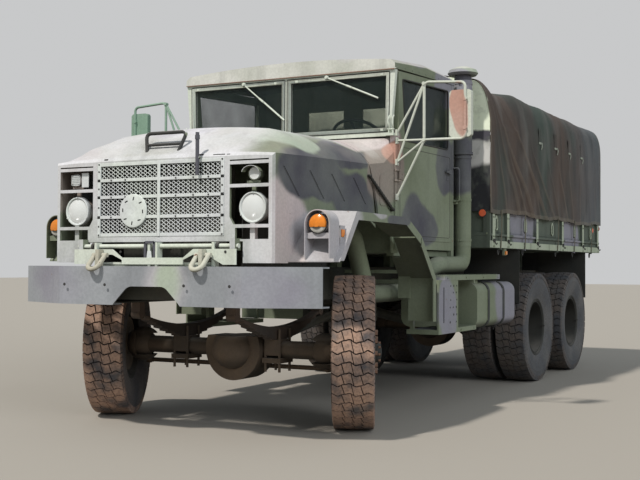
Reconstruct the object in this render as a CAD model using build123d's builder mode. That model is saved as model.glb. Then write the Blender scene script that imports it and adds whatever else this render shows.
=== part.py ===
from build123d import *
import os
from math import cos, radians, sin

os.makedirs("parts", exist_ok=True)

# Driving dimensions in millimetres. The truck faces -Y, its left side is +X, and the floor is at z = 0.
# behind(d) is the y of a place d behind the front axle.
front_reach = 1123.5
rear_reach = 6660.0
axle_front_y = (front_reach - rear_reach) / 2
axle_to_tandem = 3861.0
tandem_spacing = 1372.0
running_gap = 0.3
seam = 12.0

tyre_radius = 545.0
tyre_width = 292.0
bead_radius = 262.0
widest_radius = 430.0
rim_width = 210.0
flange_radius = 278.0
front_track = 2000.0
dual_centre_x = 917.5
dual_spacing = 343.0

rail_outer_x = 432.0
rail_bottom = 890.0
rail_height = 254.0
rail_flange = 76.0
rail_web = 10.0
rail_top = rail_bottom + rail_height

bumper_half = 1210.0
bumper_face = -1060.0
bumper_end_face = -853.0
bumper_crease_x = 740.0
bumper_bottom = 887.0
bumper_height = 260.0
bumper_depth = 95.0
bumper_wall = 10.0

hood_half = 895.0
hood_front = -920.0
hood_rear = 500.0
hood_wall = 14.0
hood_bottom = 1171.0
hood_hinge_y = -950.0
hood_hinge_z = 1281.0
hood_hinge_radius = 16.0

fender_half = 1215.0
fender_sheet = 8.0
fender_lip = 57.0

cab_half = 975.0
door_front = 875.0
door_rear = 2030.0
door_bottom = 1290.0
door_thickness = 45.0
door_gap = 7.0
cab_rear = 2095.0
cab_floor = 1280.0
cab_wall = 25.0
windshield_y = 836.0
windshield_bottom = 2167.0
roof_front_lip = 2687.0
roof_rear_lip = 2745.0
roof_lip_height = 78.0
roof_middle = 1450.0
roof_middle_lip = 2725.0
roof_middle_height = 100.0
roof_rear_height = 56.0
roof_crown = 45.0
roof_wall = 25.0

bed_half = 1218.0
bed_front = 2360.0
bed_rear = 6540.0
bed_bottom = 1322.0
bed_rail_height = 65.0
bed_floor_top = 1430.0
bed_side_top = 1785.0
bed_side_depth = 53.0
gate_thickness = 40.0
canvas_wall = 10.0
canvas_hem = 1650.0
canvas_shoulder = 2470.0
canvas_corner_x = 1060.0
canvas_corner_z = 2845.0
canvas_top = 2950.0

stack_x = 1020.0
stack_behind = 2205.0
stack_radius = 82.0


def behind(distance):
    return axle_front_y + distance


def block(x_span, y_span, z_span, mode=Mode.ADD):
    # A box from its two corners; the y span is given behind the front axle.
    centre = (sum(x_span) / 2, behind(sum(y_span) / 2), sum(z_span) / 2)
    with Locations(centre):
        Box(abs(x_span[1] - x_span[0]), abs(y_span[1] - y_span[0]), abs(z_span[1] - z_span[0]), mode=mode)


def bar_x(x_span, at_behind, z, radius, mode=Mode.ADD):
    # A round bar along X.
    with Locations(Location(((x_span[0] + x_span[1]) / 2, behind(at_behind), z), (0, 90, 0))):
        Cylinder(radius, abs(x_span[1] - x_span[0]), mode=mode)


def bar_y(x, span, z, radius, mode=Mode.ADD):
    # A round bar along Y.
    with Locations(Location((x, behind(sum(span) / 2), z), (90, 0, 0))):
        Cylinder(radius, abs(span[1] - span[0]), mode=mode)


def bar_z(x, at_behind, z_span, radius, mode=Mode.ADD):
    # A round bar along Z.
    with Locations((x, behind(at_behind), sum(z_span) / 2)):
        Cylinder(radius, abs(z_span[1] - z_span[0]), mode=mode)


def side_profile(points, x_span, mode=Mode.ADD):
    # A plate whose outline is drawn seen from the side, as (behind, z) points, between two x.
    with BuildSketch(Plane.YZ.offset(x_span[0])) as outline:
        with BuildLine():
            Polyline(*[(behind(d), z) for d, z in points], close=True)
        make_face()
    extrude(outline.sketch, amount=x_span[1] - x_span[0], mode=mode)


def front_profile(points, span, mode=Mode.ADD):
    # A plate whose outline is drawn seen from the front, as (x, z) points, between two distances behind.
    with BuildSketch(Plane.XZ.offset(-behind(span[1]))) as outline:
        with BuildLine():
            Polyline(*points, close=True)
        make_face()
    extrude(outline.sketch, amount=span[1] - span[0], mode=mode)


def turned(points, at_behind, z, mode=Mode.ADD):
    # A turned piece about an axle along X, from (x, radius) points.
    with BuildSketch(Plane.XZ.offset(-behind(at_behind))) as outline:
        with BuildLine():
            Polyline(*[(x, z + r) for x, r in points], close=True)
        make_face()
    revolve(outline.sketch, axis=Axis((0, behind(at_behind), z), (1, 0, 0)), mode=mode)


def tube(points, radius, bend, mode=Mode.ADD):
    # A bent tube through (x, behind, z) points with one bend radius.
    with BuildLine() as path:
        FilletPolyline(*[(x, behind(d), z) for x, d, z in points], radius=bend)
    start = Plane(origin=path.line @ 0, z_dir=path.line % 0)
    with BuildSketch(start) as section:
        Circle(radius)
    sweep(section.sketch, path=path.line, mode=mode)


def rod(start, end, radius, mode=Mode.ADD):
    # A straight rod between two (x, behind, z) points.
    a = Vector(start[0], behind(start[1]), start[2])
    b = Vector(end[0], behind(end[1]), end[2])
    with BuildSketch(Plane(origin=a, z_dir=b - a)) as section:
        Circle(radius)
    extrude(section.sketch, amount=(b - a).length, mode=mode)


def save(piece, name):
    piece.part.label = name
    export_step(piece.part, f"parts/{name}.step")


# Frame: two channel rails joined by crossmembers.
frame_front = bumper_face + bumper_depth
frame_rear = 6480.0
crossmembers = [-880.0, 1250.0, 2300.0, 3230.0, 4547.0, 5900.0, frame_rear - 40]
with BuildPart() as frame:
    for side in (-1, 1):
        outer = side * rail_outer_x
        web = outer - side * rail_web
        inner = outer - side * rail_flange
        block((web, outer), (frame_front, frame_rear), (rail_bottom, rail_top))
        block((inner, outer), (frame_front, frame_rear), (rail_top - rail_web, rail_top))
        block((inner, outer), (frame_front, frame_rear), (rail_bottom, rail_bottom + rail_web))
    for place in crossmembers:
        span = rail_outer_x - rail_web
        block((-span, span), (place - 40, place + 40), (rail_bottom + 30, rail_top - 30))
    # Rear bumperettes and the pintle hook plate.
    for side in (-1, 1):
        block((side * 330, side * 520), (frame_rear, frame_rear + 60), (rail_bottom - 40, rail_top))
save(frame, "frame")

# Front bumper: a channel with swept-back ends and a notch under its middle.
notch_half_bottom = 262.0
notch_half_top = 150.0
notch_height = 126.0
bumper_top = bumper_bottom + bumper_height
with BuildPart() as front_bumper:
    for grow, low, high, mode in ((0, 0, 0, Mode.ADD), (bumper_wall, bumper_wall, 20, Mode.SUBTRACT)):
        face = [(-bumper_half - low, bumper_end_face + grow), (-bumper_crease_x, bumper_face + grow),
                (bumper_crease_x, bumper_face + grow), (bumper_half + low, bumper_end_face + grow)]
        back = [(x, d + bumper_depth + high - grow) for x, d in reversed(face)]
        with BuildSketch(Plane.XY.offset(bumper_bottom + low)) as plan:
            with BuildLine():
                Polyline(*[(x, behind(d)) for x, d in face + back], close=True)
            make_face()
        extrude(plan.sketch, amount=bumper_height - 2 * low, mode=mode)
    with BuildSketch(Plane.XZ.offset(-behind(bumper_face) + 50)) as notch:
        with BuildLine():
            Polyline((-notch_half_bottom - 20, bumper_bottom - 10), (-notch_half_bottom, bumper_bottom + 15),
                     (-notch_half_top, bumper_bottom + notch_height),
                     (notch_half_top, bumper_bottom + notch_height), (notch_half_bottom, bumper_bottom + 15),
                     (notch_half_bottom + 20, bumper_bottom - 10), close=True)
        make_face()
        top_corners = notch.vertices().filter_by(lambda v: v.Y > bumper_bottom + notch_height - 1)
        fillet(top_corners, radius=85)
        low_corners = notch.vertices().filter_by(lambda v: abs(v.Y - bumper_bottom - 15) < 1)
        fillet(low_corners, radius=25)
    extrude(notch.sketch, amount=-(bumper_depth + 100), mode=Mode.SUBTRACT)
save(front_bumper, "front_bumper")

# Lifting shackles hung in ears on the bumper, and the pair at the tail.
shackle_x = 420.0
shackle_pin = (-1012.0, 1222.0)
shackle_lean = 45.0
shackle_rod = 16.0
with BuildPart() as shackles:
    for side in (-1, 1):
        x = side * shackle_x
        block((x - 14, x + 14), (shackle_pin[0] - 35, shackle_pin[0] + 16), (bumper_top + running_gap, shackle_pin[1] + 38))
        bar_x((x - 62, x + 62), shackle_pin[0], shackle_pin[1], 15)
        down = Vector(0, -sin(radians(shackle_lean)), -cos(radians(shackle_lean)))
        hang = Plane(origin=(x, behind(shackle_pin[0]), shackle_pin[1]), x_dir=(1, 0, 0),
                     z_dir=Vector(1, 0, 0).cross(-down))
        with BuildLine(hang) as bow:
            Line((-44, 0), (-44, -91))
            ThreePointArc((-44, -91), (0, -135), (44, -91))
            Line((44, -91), (44, 0))
        with BuildSketch(Plane(origin=bow.line @ 0, z_dir=bow.line % 0)) as ring_section:
            Circle(shackle_rod)
        sweep(ring_section.sketch, path=bow.line)
save(shackles, "tow_shackles")

# Axle housings: a tube, a round banjo housing with its pinion nose, and the ends.
axle_tube_radius = 64.0
banjo_x = 85.0
banjo_radius = 232.0
banjo_half_depth = 118.0
banjo_top = 95.0
kingpin_x = 800.0
kingpin_radius = 22.0
ball_radius = 104.0
front_spring_x = 400.0
rear_spring_x = 490.0


def axle_housing(at, nose, half_length, spring_x):
    bar_x((-half_length, half_length), at, tyre_radius, axle_tube_radius)
    bar_y(banjo_x, (at - banjo_half_depth, at + banjo_half_depth), tyre_radius, banjo_radius)
    for face in (-1, 1):
        with Locations((banjo_x, behind(at + face * (banjo_half_depth - 6)), tyre_radius)):
            Sphere(150)
    bar_y(banjo_x, (at, at + nose * 330), tyre_radius + 10, 82)
    bar_y(banjo_x, (at + nose * 325, at + nose * 350), tyre_radius + 10, 60)
    block((banjo_x - 260, banjo_x + 260), (at - 260, at + 260),
          (tyre_radius + banjo_top, tyre_radius + 300), mode=Mode.SUBTRACT)
    for side in (-1, 1):
        seat = side * spring_x
        block((seat - 55, seat + 55), (at - 85, at + 85), (tyre_radius - 40, tyre_radius + 75))


with BuildPart() as front_axle:
    axle_housing(0, 1, kingpin_x, front_spring_x)
    for side in (-1, 1):
        with Locations((side * kingpin_x, behind(0), tyre_radius)):
            Sphere(ball_radius)
        bar_z(side * kingpin_x, 0, (tyre_radius - 126, tyre_radius + 126), kingpin_radius)
        # Spring clamp plates and U-bolt ends under the axle.
        seat = side * front_spring_x
        block((seat - 75, seat + 75), (-95, 95), (tyre_radius - 95, tyre_radius - 60))
        for dx in (-58, 58):
            for dd in (-75, 75):
                bar_z(seat + dx, dd, (tyre_radius - 160, tyre_radius + 150), 10)
save(front_axle, "front_axle")

spindle_radius = 45.0
spindle_end = 1045.0
for label, at in (("rear_axle_forward", axle_to_tandem), ("rear_axle_rearward", axle_to_tandem + tandem_spacing)):
    with BuildPart() as rear_axle:
        axle_housing(at, -1, 590, rear_spring_x)
        bar_x((-spindle_end, spindle_end), at, tyre_radius, spindle_radius)
    save(rear_axle, label)

# Leaf packs. Each leaf is an arc of a common circle, shorter leaf by leaf.
front_leaf_count = 7
leaf_thickness = 13.0
leaf_width = 76.0
front_spring_half = 600.0
front_spring_rise = 95.0
front_seat_z = tyre_radius + 75.0
with BuildPart() as front_springs:
    for side in (-1, 1):
        x0 = side * front_spring_x - leaf_width / 2
        for leaf in range(front_leaf_count):
            share = (leaf + 2) / (front_leaf_count + 1)
            half = front_spring_half * share
            rise = front_spring_rise * share * share
            low = front_seat_z + leaf * leaf_thickness
            with BuildSketch(Plane.YZ.offset(x0)) as leaf_side:
                with BuildLine():
                    ThreePointArc((behind(-half), low + rise), (behind(0), low), (behind(half), low + rise))
                    Line((behind(half), low + rise), (behind(half), low + rise + leaf_thickness))
                    ThreePointArc((behind(half), low + rise + leaf_thickness), (behind(0), low + leaf_thickness),
                                  (behind(-half), low + rise + leaf_thickness))
                    Line((behind(-half), low + rise + leaf_thickness), (behind(-half), low + rise))
                make_face()
            extrude(leaf_side.sketch, amount=leaf_width)
        # Eyes and hangers up to the rail.
        eye_z = front_seat_z + front_leaf_count * leaf_thickness + front_spring_rise
        for end in (-1, 1):
            place = end * (front_spring_half + 12)
            bar_x((x0, x0 + leaf_width), place, eye_z, 34)
            block((x0, x0 + leaf_width), (place - 30, place + 30), (eye_z, rail_bottom))
save(front_springs, "front_springs")

trunnion = axle_to_tandem + tandem_spacing / 2
rear_leaf_count = 9
rear_spring_half = tandem_spacing / 2 + 40
rear_spring_drop = 70.0
rear_seat_z = tyre_radius + 75.0
with BuildPart() as rear_suspension:
    for side in (-1, 1):
        x0 = side * rear_spring_x - 45
        for leaf in range(rear_leaf_count):
            share = 1 - leaf * 0.088
            half = rear_spring_half * share
            drop = rear_spring_drop * share * share
            low = rear_seat_z + rear_spring_drop + leaf * leaf_thickness
            with BuildSketch(Plane.YZ.offset(x0)) as leaf_side:
                with BuildLine():
                    ThreePointArc((behind(trunnion - half), low - drop), (behind(trunnion), low),
                                  (behind(trunnion + half), low - drop))
                    Line((behind(trunnion + half), low - drop),
                         (behind(trunnion + half), low - drop + leaf_thickness))
                    ThreePointArc((behind(trunnion + half), low - drop + leaf_thickness),
                                  (behind(trunnion), low + leaf_thickness),
                                  (behind(trunnion - half), low - drop + leaf_thickness))
                    Line((behind(trunnion - half), low - drop + leaf_thickness),
                         (behind(trunnion - half), low - drop))
                make_face()
            extrude(leaf_side.sketch, amount=90)
        # Saddle, hanger bracket and torque rods.
        saddle_top = rear_seat_z + rear_spring_drop
        block((x0, x0 + 90), (trunnion - 90, trunnion + 90), (saddle_top - 130, saddle_top))
        inner_x = side * rail_outer_x
        block((inner_x, inner_x + side * 22), (trunnion - 170, trunnion + 170), (saddle_top - 130, rail_top - 20))
        for end in (-1, 1):
            rod((side * rear_spring_x, trunnion, saddle_top - 110),
                (side * rear_spring_x, trunnion + end * (tandem_spacing / 2 - 96), tyre_radius - 20), 24)
    bar_x((-rear_spring_x, rear_spring_x), trunnion, rear_seat_z + rear_spring_drop - 42, 40)
save(rear_suspension, "rear_suspension")

# Engine, radiator and driveline masses.
with BuildPart() as engine:
    block((-330, 330), (-330, 560), (900, 1740))
    block((-190, 190), (-560, -330), (1000, 1500))
save(engine, "engine")

with BuildPart() as radiator:
    block((-430, 430), (-740, -640), (rail_top, 1810))
save(radiator, "radiator")

with BuildPart() as driveline:
    block((-210, 210), (560, 1210), (860, 1255))
    block((-260, 260), (1600, 2050), (660, 1040))
    rod((0, 1205, 870), (0, 1605, 830), 45)
    rod((banjo_x, 357, tyre_radius + 10), (banjo_x, 1605, 760), 38)
    rod((banjo_x, 2045, 780), (banjo_x, axle_to_tandem - 358, tyre_radius + 10), 45)
    rod((banjo_x, axle_to_tandem + banjo_half_depth + 145, tyre_radius + 10),
        (banjo_x, axle_to_tandem + tandem_spacing - 350 - running_gap, tyre_radius + 10), 38)
    block((-rail_outer_x + rail_web, rail_outer_x - rail_web), (1700, 1760), (1000, 1060))
    block((-rail_outer_x + rail_web, rail_outer_x - rail_web), (800, 860), (rail_bottom + 40, rail_bottom + 90))
save(driveline, "driveline")

# Knuckles: a split shell round each axle ball, a spindle and an arm for the tie rod.
shell_inner = ball_radius + 6
shell_outer = 132.0
spindle_tip_x = 1135.0
arm_in = 0.0
arm_back = 230.0
tie_rod_z = 400.0
front_spindle_radius = 42.0
backplate_x = kingpin_x + 115.0
# The truck is parked with its front wheels turned to its left.
parked_steer = 24.5


def steered(piece, side):
    # The same solids, turned about one kingpin to the parked steering angle.
    kingpin = Axis((side * kingpin_x, behind(0), tyre_radius), (0, 0, 1))
    piece.part = piece.part.rotate(kingpin, parked_steer)
    return piece


for label, side in (("knuckle_left", 1), ("knuckle_right", -1)):
    centre_x = side * kingpin_x
    with BuildPart() as knuckle:
        with Locations((centre_x, behind(0), tyre_radius)):
            Sphere(shell_outer)
            Sphere(shell_inner, mode=Mode.SUBTRACT)
        block((centre_x - side * 200, centre_x + side * 46), (-200, 200), (tyre_radius - 82, tyre_radius + 82),
              mode=Mode.SUBTRACT)
        bar_z(centre_x, 0, (tyre_radius - 150, tyre_radius + 150), kingpin_radius + running_gap,
              mode=Mode.SUBTRACT)
        bar_x((centre_x + side * (shell_inner + 6), side * spindle_tip_x), 0, tyre_radius, front_spindle_radius)
        bar_x((side * (backplate_x + 6), side * (backplate_x + 18)), 0, tyre_radius, 205)
        bar_x((centre_x + side * (shell_inner + 6), side * (backplate_x + 8)), 0, tyre_radius, 90)
        # Steering arm, reaching back and down to the tie rod.
        side_profile([(30, tyre_radius - 108), (95, tyre_radius - 108), (arm_back + 28, tie_rod_z + 40),
                      (arm_back + 28, tie_rod_z + 22), (arm_back - 40, tie_rod_z + 22),
                      (30, tyre_radius - 130)], (centre_x - side * arm_in - 20, centre_x - side * arm_in + 20))
        bar_z(centre_x - side * arm_in, arm_back, (tie_rod_z - 26, tie_rod_z + 30), 14)
    save(steered(knuckle, side), label)

with BuildPart() as tie_rod:
    end_x = kingpin_x - arm_in
    bar_x((-end_x + 20, end_x - 20), arm_back, tie_rod_z, 17)
    for side in (-1, 1):
        bar_z(side * end_x, arm_back, (tie_rod_z - 20, tie_rod_z + 20), 30)
        bar_z(side * end_x, arm_back, (tie_rod_z - 30, tie_rod_z + 30), 14 + running_gap, mode=Mode.SUBTRACT)
# Both arms swing alike, so the rod moves without turning.
rod_shift = Vector(-arm_back * sin(radians(parked_steer)), arm_back * (cos(radians(parked_steer)) - 1), 0)
tie_rod.part = tie_rod.part.translate(rod_shift)
save(tie_rod, "tie_rod")


# Wheels. Section points are (x, radius) from the tyre's middle plane outwards.
def tyre_ring(centre, at):
    half = tyre_width / 2
    bead_half = rim_width / 2 - 9
    with BuildSketch(Plane.XZ.offset(-behind(at))) as section:
        with BuildLine():
            for flip in (1, -1):
                Line((centre, tyre_radius + tyre_radius), (centre + flip * (half - 42), 2 * tyre_radius))
                Line((centre + flip * (half - 42), 2 * tyre_radius),
                     (centre + flip * (half - 14), 2 * tyre_radius - 22))
                Line((centre + flip * (half - 14), 2 * tyre_radius - 22),
                     (centre + flip * half, tyre_radius + widest_radius))
                Line((centre + flip * half, tyre_radius + widest_radius),
                     (centre + flip * bead_half, tyre_radius + flange_radius + 6))
                Line((centre + flip * bead_half, tyre_radius + flange_radius + 6),
                     (centre + flip * bead_half, tyre_radius + bead_radius))
                Line((centre + flip * bead_half, tyre_radius + bead_radius), (centre, tyre_radius + bead_radius))
        make_face()
    revolve(section.sketch, axis=Axis((0, behind(at), tyre_radius), (1, 0, 0)))


def rim_barrel(centre, at):
    half = rim_width / 2
    turned([(centre - half, flange_radius), (centre - half + 8, flange_radius),
            (centre - half + 8, bead_radius), (centre + half - 8, bead_radius),
            (centre + half - 8, flange_radius), (centre + half, flange_radius),
            (centre + half, bead_radius - 12), (centre - half, bead_radius - 12)], at, tyre_radius)


hand_holes = 5
hand_hole_ring = 190.0
hand_hole_radius = 27.0
stud_count = 10
stud_ring = 142.0


def disc_holes(x_span, at):
    for turn in range(hand_holes):
        angle = radians(360 / hand_holes * turn + 18)
        with Locations(Location(((x_span[0] + x_span[1]) / 2, behind(at) + hand_hole_ring * cos(angle),
                                 tyre_radius + hand_hole_ring * sin(angle)), (0, 90, 0))):
            Cylinder(hand_hole_radius, abs(x_span[1] - x_span[0]), mode=Mode.SUBTRACT)


def studs(x_span, at):
    for turn in range(stud_count):
        angle = radians(360 / stud_count * turn)
        with Locations(Location(((x_span[0] + x_span[1]) / 2, behind(at) + stud_ring * cos(angle),
                                 tyre_radius + stud_ring * sin(angle)), (0, 90, 0))):
            Cylinder(15, abs(x_span[1] - x_span[0]))


for side, word in ((1, "left"), (-1, "right")):
    centre = side * front_track / 2
    with BuildPart() as front_tyre:
        tyre_ring(centre, 0)
    save(steered(front_tyre, side), f"tyre_front_{word}")
    with BuildPart() as front_rim:
        rim_barrel(centre, 0)
        outer = centre + side * rim_width / 2
        # The disc bulges outwards past the rim, and the drive hub stands proud of it.
        turned([(outer - side * 40, bead_radius - 8), (outer - side * 28, bead_radius - 8),
                (outer + side * 34, 205), (outer + side * 34, 60), (outer + side * 22, 60),
                (outer + side * 22, 198)], 0, tyre_radius)
        disc_holes((outer, outer + side * 60), 0)
        studs((outer + side * 30, outer + side * 62), 0)
        # Drum, hub and drive flange.
        turned([(side * (backplate_x + 26), 214), (side * (backplate_x + 26), 200), (outer - side * 30, 200),
                (outer - side * 30, front_spindle_radius + running_gap), (outer + side * 46,
                front_spindle_radius + running_gap), (outer + side * 46, 105), (outer + side * 34, 110),
                (outer + side * 22, 110), (outer + side * 22, 214)], 0, tyre_radius)
        turned([(side * (spindle_tip_x + 6), 0), (side * (spindle_tip_x + 6), 40), (outer + side * 44, 40),
                (outer + side * 44, 78), (side * (spindle_tip_x + 30), 74), (side * (spindle_tip_x + 52), 58),
                (side * (spindle_tip_x + 60), 0)], 0, tyre_radius)
    save(steered(front_rim, side), f"rim_front_{word}")
    for place, at in (("forward", axle_to_tandem), ("rearward", axle_to_tandem + tandem_spacing)):
        inner_c = side * (dual_centre_x - dual_spacing / 2)
        outer_c = side * (dual_centre_x + dual_spacing / 2)
        mid = side * dual_centre_x
        with BuildPart() as dual_tyres:
            tyre_ring(inner_c, at)
            tyre_ring(outer_c, at)
        save(dual_tyres, f"tyres_{place}_{word}")
        with BuildPart() as dual_rims:
            for c in (inner_c, outer_c):
                rim_barrel(c, at)
            # Each rim's dished disc runs in to the middle plane, where both are clamped on the hub.
            for c, face in ((inner_c, -1), (outer_c, 1)):
                edge = c - side * face * rim_width / 2
                clamp = mid + side * face * 12
                turned([(edge, bead_radius - 4), (edge + side * face * 14, bead_radius - 12),
                        (clamp, 205), (clamp, 90), (mid, 90), (mid, 213)], at, tyre_radius)
            disc_holes((mid - side * 40, mid + side * 40), at)
            studs((mid, mid + side * 44), at)
            bore = spindle_radius + running_gap
            turned([(side * 640, 216), (side * 640, 200), (side * 800, 200), (side * 800, 110),
                    (side * 700, 110), (side * 700, bore), (side * 1050, bore), (side * 1050, 0),
                    (side * 1088, 0), (side * 1088, 80), (side * 1040, 98), (mid, 105), (mid, 216)],
                   at, tyre_radius)
        save(dual_rims, f"rims_{place}_{word}")

# Hood shell: a ruled loft through a few sections, hollowed by the same loft set in by the wall.
# Each row: distance behind the axle, half width, shoulder z, bulge x and z, brow x and z, crown z.
hood_sections = [
    (hood_front, 881, 1858, 800, 1864, 600, 1868, 1872),
    (hood_front + 18, 895, 1876, 800, 1884, 600, 1892, 1898),
    (-735, 895, 1882, 800, 1953, 620, 2004, 2019),
    (-515, 895, 1890, 800, 1990, 620, 2090, 2122),
    (-100, 895, 1904, 800, 2005, 620, 2098, 2130),
    (hood_rear, 895, 1922, 800, 2020, 620, 2108, 2140),
    (650, 895, 1927, 800, 2025, 620, 2112, 2143),
]


def hood_section_sketch(row, inset, low, at):
    # Straight side, an arc over the shoulder and a flatter arc over the crown.
    half, shoulder, bulge_x, bulge_z, brow_x, brow_z, crown = row[1:]
    half = half - inset
    with BuildSketch(Plane.XZ.offset(-behind(at))) as section:
        with BuildLine():
            for flip in (-1, 1):
                Line((flip * half, low), (flip * half, shoulder - inset))
                ThreePointArc((flip * half, shoulder - inset), (flip * (bulge_x - inset * 0.7), bulge_z - inset * 0.8),
                              (flip * (brow_x - inset * 0.3), brow_z - inset))
            ThreePointArc((-brow_x + inset * 0.3, brow_z - inset), (0, crown - inset),
                          (brow_x - inset * 0.3, brow_z - inset))
            Line((-half, low), (half, low))
        make_face()
    return section.sketch


def ruled_body(rows, inset, low, mode=Mode.ADD):
    sections = [hood_section_sketch(row, inset, low, row[0]) for row in rows]
    for first, second in zip(sections, sections[1:]):
        loft([first, second], ruled=True, mode=mode)


# The side walls end on an arc about the hinge, so that the hood swings clear of the cowl behind it.
side_seam_radius = 1585.0


def seam_at(radius, z):
    return hood_hinge_y + (radius ** 2 - (z - hood_hinge_z) ** 2) ** 0.5


def seam_arc(radius, top_z, low_z, edge):
    # What lies behind the arc, as a side outline from the arc's top to its foot and back round.
    def at(z):
        return seam_at(radius, z)

    with BuildSketch(Plane.YZ) as outline:
        with BuildLine():
            Polyline((behind(at(top_z)), 2400), (behind(at(top_z)), top_z))
            ThreePointArc((behind(at(top_z)), top_z), (behind(at((top_z + low_z) / 2)), (top_z + low_z) / 2),
                          (behind(at(low_z)), low_z))
            Polyline((behind(at(low_z)), low_z), (behind(at(low_z)), 1000), (behind(edge), 1000),
                     (behind(edge), 2400), (behind(at(top_z)), 2400))
        make_face()
    return outline.sketch


light_opening = [(605, 1325), (856, 1325), (856, 1842), (562, 1842), (562, 1470), (605, 1400)]
louvre_places = (-800.0, -442.0, -117.0, 234.0)
hold_down_x = 326.0
grille_half = 520.0
grille_low = 1349.0
grille_high = 1859.0
fender_line = [(-736, 1171), (-369, 1526), (498, 1507), (770, 1376)]
with BuildPart() as hood:
    ruled_body(hood_sections, 0, hood_bottom)
    inner_rows = [(hood_front + 22,) + hood_sections[1][1:]] + hood_sections[2:-1] + \
                 [(hood_sections[-1][0] + 10,) + hood_sections[-1][1:]]
    ruled_body(inner_rows, hood_wall, hood_bottom - 10, mode=Mode.SUBTRACT)
    # Below the fender line the side walls are open.
    side_profile([(-736, 1100)] + fender_line + [(900, 1376), (900, 1100)], (-1000, 1000), mode=Mode.SUBTRACT)
    extrude(seam_arc(side_seam_radius, 1924, 1376, 950), amount=1000, both=True, mode=Mode.SUBTRACT)
    front_cut = (hood_front - 20, hood_front + 40)
    front_profile([(-grille_half, grille_low), (grille_half, grille_low), (grille_half, grille_high),
                   (-grille_half, grille_high)], front_cut, mode=Mode.SUBTRACT)
    front_profile([(-665, hood_bottom - 20), (665, hood_bottom - 20), (665, 1312), (-665, 1312)],
                  front_cut, mode=Mode.SUBTRACT)
    for side in (-1, 1):
        front_profile([(side * x, z) for x, z in light_opening], front_cut, mode=Mode.SUBTRACT)
        # Crossbars in front of the lamps.
        for z in (1822, 1672, 1410):
            block((side * 556, side * 860), (hood_front, hood_front + 14), (z - 11, z + 11))
        # Louvre slits slanting down along each side, cut half through the wall.
        for place in louvre_places:
            side_profile([(place, 1800), (place + 12, 1800), (place + 218, 1618), (place + 206, 1618)],
                         (side * (hood_half - 7), side * (hood_half + 1)), mode=Mode.SUBTRACT)
        # Hinge lugs that turn on the cross tube.
        block((side * 600, side * 640), (hood_hinge_y - 26, hood_front + 20), (hood_hinge_z - 28, 1330))
        bar_x((side * 590, side * 650), hood_hinge_y, hood_hinge_z, hood_hinge_radius + running_gap,
              mode=Mode.SUBTRACT)
    # Grab loop and hold-down rod on the nose.
    tube([(-150, -852, 1925), (-195, -800, 2062), (145, -800, 2062), (110, -852, 1925)], 11, 24)
    bar_x((-168, 122), -832, 1978, 9)
    bar_z(hold_down_x, hood_front - 26, (1750, 2030), 12)
    block((hold_down_x - 15, hold_down_x + 15), (hood_front - 30, hood_front + 4), (grille_high + 2, grille_high + 11))
save(hood, "hood_shell")

# Hinge tube across the nose, with its middle latch and the apron plate behind the bumper.
with BuildPart() as hinge_tube:
    bar_x((-655, 655), hood_hinge_y, hood_hinge_z, hood_hinge_radius)
    apron = [(-660, 1160), (-560, 1160), (-430, 1225), (-330, 1225), (-250, 1190), (-250, 1160), (250, 1160),
             (250, 1190), (330, 1225), (430, 1225), (560, 1160), (660, 1160), (660, 1262), (330, 1262),
             (250, 1205), (-250, 1205), (-330, 1262), (-660, 1262)]
    front_profile(apron, (hood_hinge_y - 44, hood_hinge_y - 36))
    for x in (-480, -30, 30, 480):
        block((x - 9, x + 9), (hood_hinge_y - 38, hood_hinge_y + 20), (rail_top + 4, hood_hinge_z + 26))
    block((-489, 489), (hood_hinge_y - 12, hood_hinge_y + 20), (rail_top + running_gap, rail_top + 30))
    block((-489, 489), (hood_hinge_y - 20, hood_hinge_y + 10), (rail_top + 16, rail_top + 30))
save(hinge_tube, "hood_hinge_tube")

# Expanded-metal grille: a sheet pierced by staggered diamonds, with its flat strips.
diamond_pitch_x = 86.0
diamond_pitch_z = 52.0
strip_rows = (1738.0, 1621.0, 1483.0)
with BuildPart() as grille:
    sheet_y = (hood_front + 2, hood_front + 8)
    block((-grille_half, grille_half), sheet_y, (grille_low, grille_high))
    with BuildSketch(Plane.XZ.offset(-behind(sheet_y[1] + 10))) as diamonds:
        count_x = int(2 * grille_half / diamond_pitch_x) - 1
        count_z = int((grille_high - grille_low) / diamond_pitch_z) - 1
        middle = (0, (grille_low + grille_high) / 2)
        for shift_x, shift_z, n_x, n_z in ((0, 0, count_x, count_z),
                                           (diamond_pitch_x / 2, diamond_pitch_z / 2, count_x, count_z)):
            with Locations((middle[0] + shift_x, middle[1] + shift_z)):
                with GridLocations(diamond_pitch_x, diamond_pitch_z, n_x, n_z):
                    Polygon((-34, 0), (0, -19), (34, 0), (0, 19))
    extrude(diamonds.sketch, amount=30, mode=Mode.SUBTRACT)
    strip_y = (hood_front - 4, hood_front + 8)
    for z in strip_rows:
        block((-grille_half, grille_half), strip_y, (z - 10, z + 10))
    block((-10, 10), strip_y, (grille_low, grille_high))
    for side in (-1, 1):
        block((side * (grille_half - 26), side * grille_half), strip_y, (grille_low, grille_high))
    for z0, z1 in ((grille_low, grille_low + 24), (grille_high - 24, grille_high)):
        block((-grille_half, grille_half), strip_y, (z0, z1))
    # Round cover plate with a ring of slots.
    bar_y(-210, (hood_front - 12, hood_front + 4), 1524, 116)
    for turn in range(8):
        angle = radians(45 * turn)
        with Locations(Location((-210 + 84 * sin(angle), behind(hood_front - 12), 1524 + 84 * cos(angle)),
                                (0, 45 * turn, 0))):
            Box(9, 40, 26, mode=Mode.SUBTRACT)
save(grille, "grille")

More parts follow.
